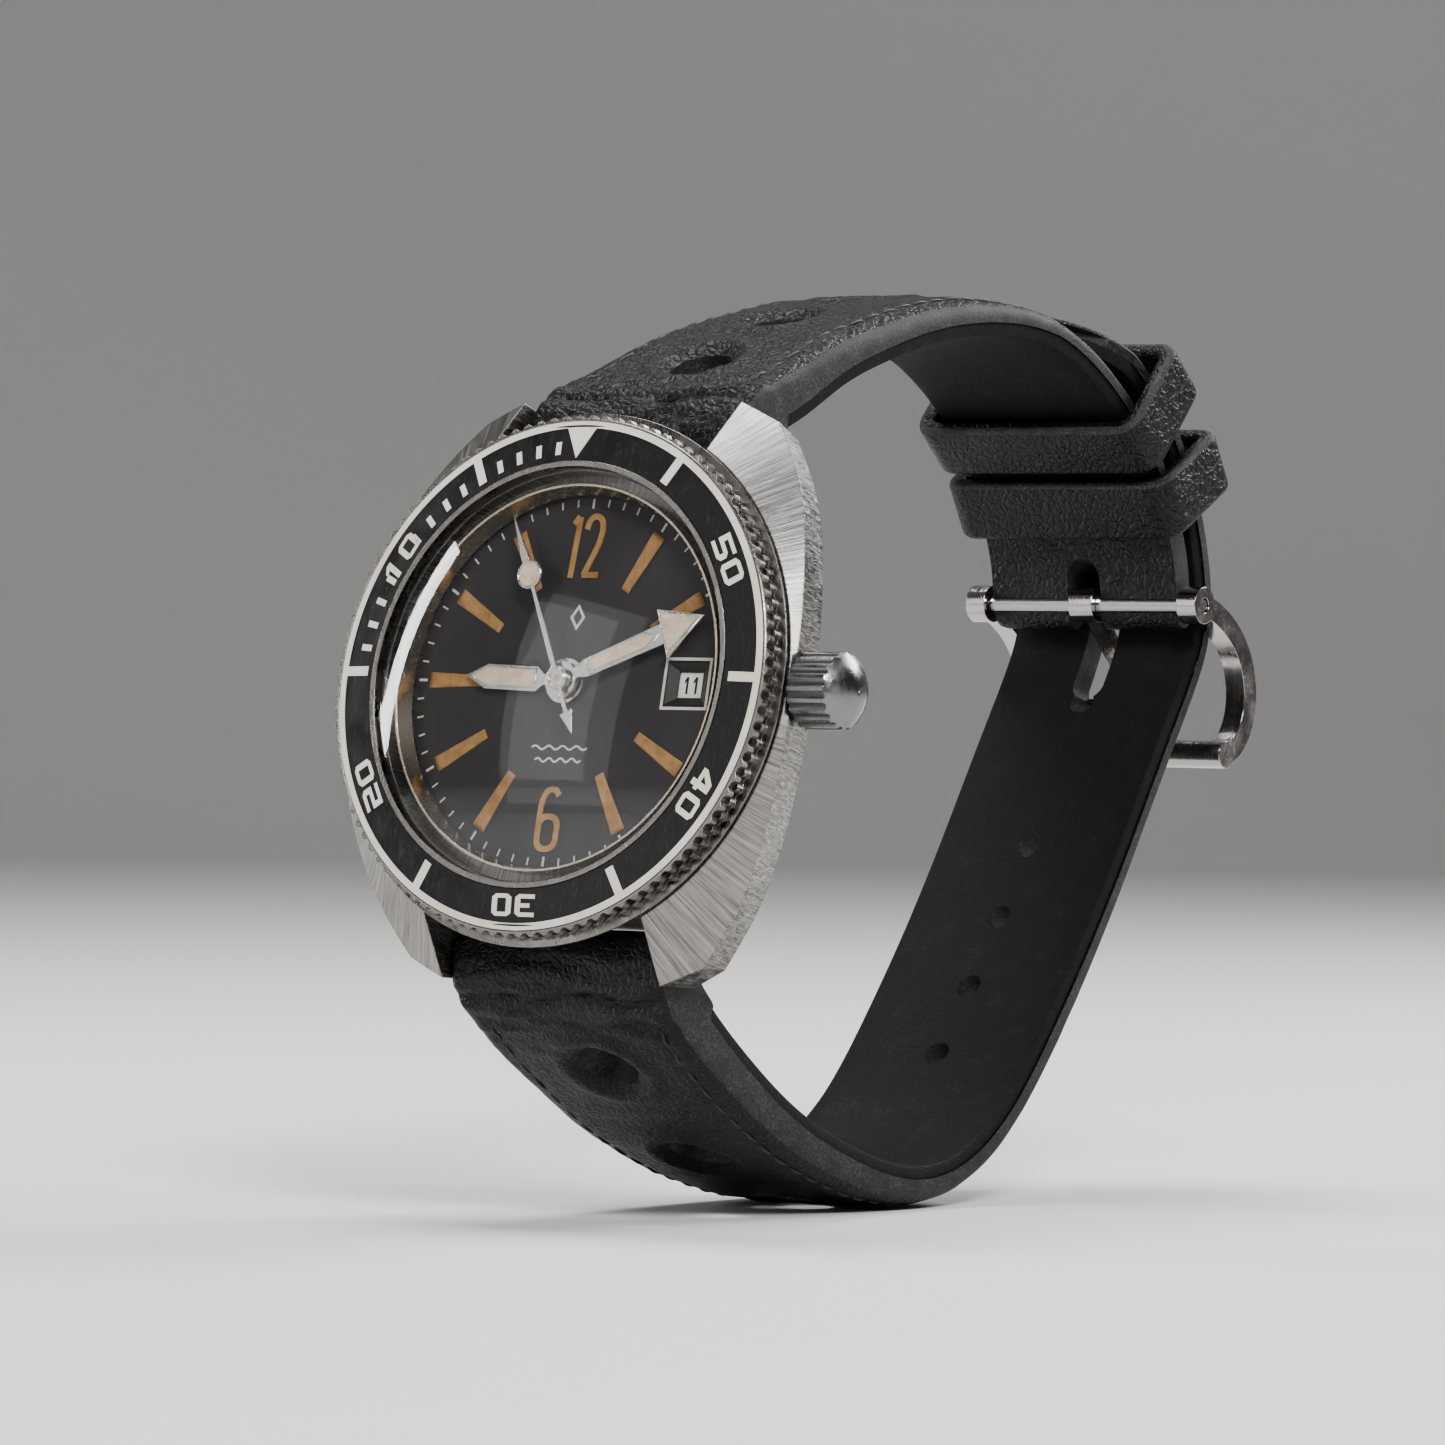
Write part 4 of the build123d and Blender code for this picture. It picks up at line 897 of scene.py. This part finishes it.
UPPER = Route(UPPER_PATH, 1)
LOWER = Route(LOWER_PATH, -1)
UPPER_FACTS = {
    "route": UPPER,
    "thick": [(0.0, 4.2), (0.12, 3.8), (0.3, 3.2), (0.6, 2.5), (1.0, 2.2)],
    "roll": [(0, 0.5), (2, 0.75), (8, 1.4), (14, 2.1), (22, 2.7), (45, 2.2), (60, 1.3), (72, 0.9)],
    "drop": [(0, 0.35), (2, 0.6), (8, 1.1), (14, 1.6), (22, 1.85), (45, 1.1), (60, 0.6), (72, 0.5)],
    "lined": (0.095, 0.895),
    "rally": (0.135, 0.275, 0.415),
    "crease": 3.1,
}
LOWER_FACTS = {
    "route": LOWER,
    "thick": [(0.0, 4.2), (0.09, 3.8), (0.22, 3.3), (0.42, 2.4), (0.6, 2.1), (1.0, 2.0)],
    "roll": [(0, 0.5), (2, 0.6), (8, 1.3), (14, 2.0), (22, 2.6), (36, 2.2), (50, 1.1), (60, 0.7), (125, 0.6)],
    "drop": [(0, 0.35), (2, 0.5), (8, 1.0), (14, 1.5), (22, 1.85), (36, 1.4), (50, 0.7), (60, 0.42),
             (125, 0.36)],
    "lined": (0.065, 0.995),
    "rally": (0.085, 0.185, 0.285),
    "crease": 3.3,
}
RALLY_R = 2.2
ADJUST_R = 0.95
ADJUST_AT = (0.455, 0.505, 0.555, 0.605, 0.705)


def half_width(z):
    """Half the strap's width at a height in the flat frame; it narrows towards the buckle."""
    return 8.9 - 0.9 * min(1.0, max(0.0, (2 - z) / 38))


def tail_width(z, tip_z):
    centre = tip_z - TAIL_ROUND_R
    if z <= centre:
        return 99.0
    return sqrt(max(0.0, TAIL_ROUND_R ** 2 - (z - centre) ** 2))


def hole_dip(x, mm, route, holes):
    """How far the surface sinks at a round hole's rim, less the soft swell round it."""
    dip = 0.0
    for share in holes:
        d = hypot(x, mm - share * route.length)
        if d < RALLY_R + 3:
            rim = max(0.0, 1 - max(0.0, d - RALLY_R))
            dip += 0.5 * rim ** 2 - 0.2 * exp(-(((d - RALLY_R - 1.35) / 0.55) ** 2))
    return dip


def wrinkles(x, mm, facts):
    """Folds across the strap where it bends at the lug, and gentler ones along it."""
    near = 1 - smooth_step(mm, 5.0, 11.0)
    ripple = noise.noise(Vector((x * 0.3, mm * 1.25, 1.7)))
    small = noise.noise(Vector((x * 0.9, mm * 2.6, 4.1)))
    wander = 0.5 * noise.noise(Vector((x * 0.28, 0.0, 9.3)))
    crease = exp(-(((mm - facts["crease"] - wander) / 0.42) ** 2))
    second = exp(-(((mm - facts["crease"] - 2.2 + wander) / 0.5) ** 2))
    gentle = noise.noise(Vector((x * 0.22, mm * 0.5, 6.6)))
    return near * (0.26 * ripple + 0.11 * small - 0.5 * crease - 0.2 * second) + 0.08 * gentle


def seam_dip(x, half, mm, length):
    """The groove the stitches lie in."""
    inset = half - abs(x) - SEAM_INSET
    return 0.14 * exp(-((inset / 0.28) ** 2)) * smooth_step(mm, 4.5, 7.0) * smooth_step(length - mm, 2, 5)


def strap_profile(facts, along, tail):
    """Stations round the strap's side view: ((mm along, (y, z), outward), kind)."""
    route = facts["route"]
    side = route.side
    outer, inner = [], []
    for n in range(15):
        angle = radians(270 - 180 * n / 14)
        oy, oz = cos(angle) * side, sin(angle)
        mm = -(14 - n) / 14 * pi * LOOP_R
        outer.append((mm, (side * BAR_Y + LOOP_R * oy, BAR_Z + LOOP_R * oz), (oy, oz)))
    for n in range(1, along + 1):
        mm = route.length * n / along
        point, _, out = route.at(mm)
        outer.append((mm, point, out))
    for n in range(along, 0, -1):
        mm = route.length * n / along
        share = n / along
        point, _, out = route.at(mm)
        full = table(facts["thick"], share)
        low, high = facts["lined"]
        lined = smooth_step(share, low - 0.004, low) * (1 - smooth_step(share, high, high + 0.004))
        deep = full - LINING * lined
        inner.append((mm, (point[0] - out[0] * deep, point[1] - out[1] * deep), out))
    cap = []
    if not tail:
        (y0, z0), (y1, z1) = outer[-1][1], inner[0][1]
        cy, cz = (y0 + y1) / 2, (z0 + z1) / 2
        hy, hz = (y0 - y1) / 2, (z0 - z1) / 2
        _, (dy, dz), _ = route.at(route.length)
        for n in range(1, 8):
            c, s = cos(pi * n / 8), 1.5 * sin(pi * n / 8)
            cap.append((route.length, (cy + hy * c + dy * s, cz + hz * c + dz * s), (dy, dz)))
    kinds = (("outer", outer), ("cap", cap), ("inner", inner))
    return [(item, kind) for kind, items in kinds for item in items]


CORE_STEPS = 26
ROLL_STEPS = 5


def strap_leather(name, node, facts, along, tail=False):
    """The outer leather: crowned, wrinkled at the lug, with rolled edges and cut holes."""
    route = facts["route"]
    rows = strap_profile(facts, along, tail)
    stations = range(-ROLL_STEPS, CORE_STEPS + ROLL_STEPS + 1)
    tip_z = route.curve[-1][1]
    vertices = []
    for k in stations:
        for (mm, (y, z), (oy, oz)), kind in rows:
            on = max(mm, 0.0)
            half = half_width(z)
            if tail and kind != "cap" and on > route.length * 0.8:
                half = min(half, max(0.02, tail_width(z, tip_z)))
            roll = min(table(facts["roll"], on), half * 0.6)
            drop = table(facts["drop"], on)
            if k < 0 or k > CORE_STEPS:
                step = (-k if k < 0 else k - CORE_STEPS) / ROLL_STEPS
                angle = step * pi / 2
                x = (1 if k > CORE_STEPS else -1) * (half - roll + roll * sin(angle))
                sink = drop * (1 - cos(angle))
            else:
                x = (half - roll) * (2 * k / CORE_STEPS - 1)
                sink = 0.0
            if kind == "outer":
                lift = wrinkles(x, mm, facts) * (1 - 0.6 * smooth_step(abs(x), half - 1.2, half))
                sink += hole_dip(x, mm, route, facts["rally"]) + seam_dip(x, half, mm, route.length) - lift
                if mm < 0:
                    sink = max(sink, -0.12)
            elif kind == "cap":
                sink *= 0.5
            else:
                sink = 0.0
            vertices.append((x, y - oy * sink, z - oz * sink))
    obj = mesh_object(name, vertices, skin(len(stations), len(rows), turn=-route.side))
    finish_strap(obj, facts, tail, "leather_black", "leather", "edge", "lining")
    flat = WATCH.inverted()
    for polygon in obj.data.polygons:
        centre = flat @ polygon.center
        if abs(polygon.normal.x) > 0.72 and abs(centre.x) > half_width(centre.z) - 1.4:
            polygon.material_index = 1
    obj.data.set_sharp_from_angle(angle=radians(48))
    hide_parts(node)


def finish_strap(obj, facts, tail, slot, *materials):
    """Gives a strap part its materials, cuts its holes and sets its body."""
    for key in materials:
        obj.data.materials.append(M[key])
    carve(obj, cutters(facts, tail))
    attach(obj, "case_unit")


def cylinder(r, length, centre, axis, steps=40):
    """(vertices, faces) of a rod about a centre along an axis."""
    turn = Vector((0, 0, 1)).rotation_difference(Vector(axis)).to_matrix()
    vertices = []
    for z in (-length / 2, length / 2):
        for n in range(steps):
            a = 2 * pi * n / steps
            vertices.append(tuple(turn @ Vector((r * cos(a), r * sin(a), z)) + Vector(centre)))
    return vertices, skin(2, steps)


def slot_cutter(half_x, y0, y1, z0, z1):
    loop = [(x, y + (y0 + y1) / 2) for x, y in rounded_box(half_x, (y1 - y0) / 2, half_x * 0.98, 8)]
    return [(x, y, z) for z in (z0, z1) for x, y in loop], skin(2, len(loop))


def cutters(facts, tail):
    route = facts["route"]
    parts = []
    holes = [(share, RALLY_R) for share in facts["rally"]]
    if tail:
        holes += [(share, ADJUST_R) for share in ADJUST_AT]
    for share, r in holes:
        (y, z), _, (oy, oz) = route.at(share * route.length)
        parts.append(cylinder(r, 12, (0, y, z), (0, oy, oz), 56 if r > 1 else 28))
    parts.append(cylinder(PIN_HOLE_R, 24, (0, route.side * BAR_Y, BAR_Z), (1, 0, 0), 24))
    if tail:
        parts.append(slot_cutter(1.3, 12.4, 19.4, -62, -50))
    else:
        parts.append(cylinder(PIN_HOLE_R, 24, (0, *BUCKLE_BAR), (1, 0, 0), 24))
        parts.append(slot_cutter(1.4, 12.0, 22.3, -60, -50))
    return parts


def carve(obj, parts):
    """Cuts solids out of a piece."""
    tool = mesh_object(obj.name + "_cutter", *joined(parts), False)
    for key in ("leather", "edge"):
        tool.data.materials.append(M[key])
    tool.data.polygons.foreach_set("material_index", [1] * len(tool.data.polygons))
    cut = obj.modifiers.new("cut", "BOOLEAN")
    cut.operation = "DIFFERENCE"
    cut.solver = "EXACT"
    cut.use_self = True
    cut.object = tool
    bpy.context.view_layer.update()
    evaluated = obj.evaluated_get(bpy.context.evaluated_depsgraph_get())
    mesh = bpy.data.meshes.new_from_object(evaluated)
    obj.modifiers.clear()
    obj.data = mesh
    bpy.data.objects.remove(tool)


def strap_lining(name, node, facts, along, tail=False):
    """The thin inner layer, glued to the leather."""
    route = facts["route"]
    low, high = facts["lined"]
    tip_z = route.curve[-1][1]
    across = (-1.0, -0.985, -0.93, -0.7, -0.35, 0.0, 0.35, 0.7, 0.93, 0.985, 1.0)
    inset = (0.28, 0.1, 0.0, 0, 0, 0, 0, 0, 0.0, 0.1, 0.28)
    vertices = []
    for n in range(along + 1):
        share = low + (high - low) * n / along
        (y, z), _, (oy, oz) = route.at(share * route.length)
        half = half_width(z) - 0.15
        if tail and share > 0.8:
            half = min(half, max(0.02, tail_width(z, tip_z) - 0.15))
        full = table(facts["thick"], share)
        top = full - LINING + 0.02
        ring = [(f * half, top) for f in across] + [(f * half, full - d) for f, d in zip(across, inset)][::-1]
        vertices += [(x, y - oy * d, z - oz * d) for x, d in ring]
    obj = mesh_object(name, vertices, skin(along + 1, 2 * len(across), turn=route.side))
    finish_strap(obj, facts, tail, "lining_leather", "lining", "edge")
    obj.data.set_sharp_from_angle(angle=radians(40))
    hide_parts(node)


STITCH = 1.55
STITCH_GAP = 0.5
STITCH_R = 0.12


def stitches(name, facts, start, stop):
    """A row of thread along each edge of a strap."""
    parts = []
    for hand in (-1, 1):
        mm = start
        while mm < stop:
            parts.append(one_stitch(facts, mm, hand))
            mm += STITCH + STITCH_GAP
    laid(name, joined(parts), "case_unit", "leather_black", "thread", smooth=True)


def one_stitch(facts, mm, hand, along=7, around=6):
    """One short piece of thread that rises out of the leather and dips back in."""
    route = facts["route"]
    vertices = []
    for n in range(along + 1):
        share = n / along
        here = mm + STITCH * share
        (y, z), _, (oy, oz) = route.at(here)
        half = half_width(z)
        x = hand * (half - SEAM_INSET)
        roll = min(table(facts["roll"], here), half * 0.6)
        into = max(0.0, abs(x) - (half - roll)) / roll
        fall = table(facts["drop"], here) * (1 - sqrt(max(0.0, 1 - into * into)))
        lift = 0.06 * sin(pi * share) - fall - 0.13 + wrinkles(x, here, facts) * 0.9
        r = STITCH_R * (0.55 + 0.45 * sin(pi * share))
        for k in range(around):
            a = 2 * pi * k / around
            rise = lift + r * sin(a)
            vertices.append((x + r * cos(a), y + oy * rise, z + oz * rise))
    return vertices, skin(along + 1, around, turn=route.side)


# ---- keepers ----
KEEPER_TOP, KEEPER_LOW = 1.2, -5.3
KEEPER_WALL = 1.3
KEEPER_LENGTH = 4.6
KEEPER_HALF = 8.0 + 0.35


def keeper(name, node, share, body):
    """A soft leather loop round both layers of the strap, with rolled edges."""
    (y0, z0), (dy, dz), (oy, oz) = LOWER.at(share * LOWER.length)
    middle = (KEEPER_TOP + KEEPER_LOW) / 2
    half_x = KEEPER_HALF + KEEPER_WALL / 2
    half_d = (KEEPER_TOP - KEEPER_LOW) / 2 + KEEPER_WALL / 2
    loop = rounded_box(half_x, half_d, 1.1, 8)
    dense = []
    for (xa, da), (xb, db) in zip(loop, loop[1:] + loop[:1]):
        steps = max(1, int(ceil(hypot(xb - xa, db - da) / 0.7)))
        dense += [(xa + (xb - xa) * k / steps, da + (db - da) * k / steps) for k in range(steps)]
    band = rounded_box(KEEPER_LENGTH / 2, KEEPER_WALL / 2, 0.48, 5)
    count = len(dense)
    vertices = []
    for i, (x, d) in enumerate(dense):
        (xa, da), (xb, db) = dense[i - 1], dense[(i + 1) % count]
        length = hypot(xb - xa, db - da)
        nx, nd = (db - da) / length, -(xb - xa) / length
        swell = 1 + 0.06 * noise.noise(Vector((x * 0.5, d * 0.7, share * 40)))
        for along, off in band:
            puff = 0.12 * (1 - (2 * along / KEEPER_LENGTH) ** 2) if off > 0 else 0.0
            reach = off * swell + puff
            px, pd = x + nx * reach, d + nd * reach + middle
            vertices.append((px, y0 + dy * along + oy * pd, z0 + dz * along + oz * pd))
    obj = mesh_object(name, vertices, skin(count, len(band), closed=True))
    dress(obj, body, "leather_black", M["leather"], M["edge"])
    for polygon in obj.data.polygons:
        along, off = band[polygon.index % len(band)]
        if abs(along) > KEEPER_LENGTH / 2 - 0.3 and off > 0:
            polygon.material_index = 1
    work = bmesh.new()
    work.from_mesh(obj.data)
    bmesh.ops.recalc_face_normals(work, faces=work.faces)
    work.to_mesh(obj.data)
    work.free()
    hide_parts(node)


# ---- build ----
def build():
    paint_nodes()
    bezel_marks()
    minute_track()
    dial_batons()
    dial_numbers()
    dial_emblem()
    date_frame()
    date_numbers()
    hand_lumes()
    hand_rims()
    strap_leather("strap_upper_leather", "strap_upper", UPPER_FACTS, 200)
    strap_leather("strap_lower_leather", "strap_lower", LOWER_FACTS, 340, tail=True)
    strap_lining("lining_upper_leather", "lining_upper", UPPER_FACTS, 120)
    strap_lining("lining_lower_leather", "lining_lower", LOWER_FACTS, 220, tail=True)
    stitches("stitches_upper", UPPER_FACTS, 6.0, UPPER.length - 5.0)
    stitches("stitches_lower", LOWER_FACTS, 6.0, LOWER.length - 14.0)
    keeper("keeper_fixed_leather", "keeper_fixed", 0.86, "case_unit")
    keeper("keeper_free_leather", "keeper_free", 0.92, "keeper_free_unit")


def studio():
    """A pale curved backdrop, five soft lamps and the camera."""
    floor_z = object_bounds()[0][2]
    width, depth, rise = 0.8, 1.3, 1.4
    profile = [(-1.2, floor_z)]
    for n in range(13):
        a = radians(90 * n / 12)
        profile.append((depth - 0.35 + 0.35 * sin(a), floor_z + 0.35 * (1 - cos(a))))
    profile.append((depth, rise))
    vertices, faces = [], []
    for y, z in profile:
        vertices += [(-width, y, z), (width, y, z)]
    for n in range(len(profile) - 1):
        faces.append((2 * n, 2 * n + 1, 2 * n + 3, 2 * n + 2))
    mesh = bpy.data.meshes.new("backdrop")
    mesh.from_pydata(vertices, [], faces)
    mesh.polygons.foreach_set("use_smooth", [True] * len(mesh.polygons))
    backdrop = added("backdrop", mesh)
    backdrop.rotation_euler = (0, 0, radians(35.7))
    mesh.materials.append(Paint("paper", (0.74, 0.73, 0.72), 0.85).material)
    backdrop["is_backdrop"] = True

    def lamp(name, place, power, size):
        data = bpy.data.lights.new(name, "AREA")
        data.shape = "RECTANGLE"
        data.size, data.size_y = size
        data.energy = power
        obj = added(name, data)
        obj.location = place
        aim = Vector((0.0, 0.012, 0.0)) - Vector(place)
        obj.rotation_euler = aim.to_track_quat("-Z", "Y").to_euler()

    lamp("key", (0.46, -0.4, 0.42), 4.4, (0.2, 0.2))
    lamp("top", (-0.16, 0.08, 0.6), 2.8, (0.3, 0.3))
    lamp("edge", (-0.5, -0.1, 0.12), 0.9, (0.04, 0.3))
    lamp("window", (-0.36, -0.64, 0.2), 0.5, (0.3, 0.44))
    lamp("rim", (0.16, 0.5, 0.34), 2.6, (0.4, 0.2))

    world = bpy.data.worlds.new("studio")
    world.use_nodes = True
    background = world.node_tree.nodes["Background"]
    background.inputs["Color"].default_value = (1.0, 0.97, 0.95, 1)
    background.inputs["Strength"].default_value = 0.12
    bpy.context.scene.world = world

    scene = bpy.context.scene
    camera = bpy.data.cameras.new("camera")
    camera.lens = 209.3
    camera.sensor_width = 36
    camera.clip_start = 0.02
    holder = added("camera", camera)
    holder.location = (0.3375, -0.4581, 0.0038)
    holder.rotation_euler = (radians(89.511), radians(-0.699), radians(35.77))
    scene.camera = holder
    scene.view_settings.view_transform = "AgX"
    scene.view_settings.look = "AgX - Medium High Contrast"


build()
studio()
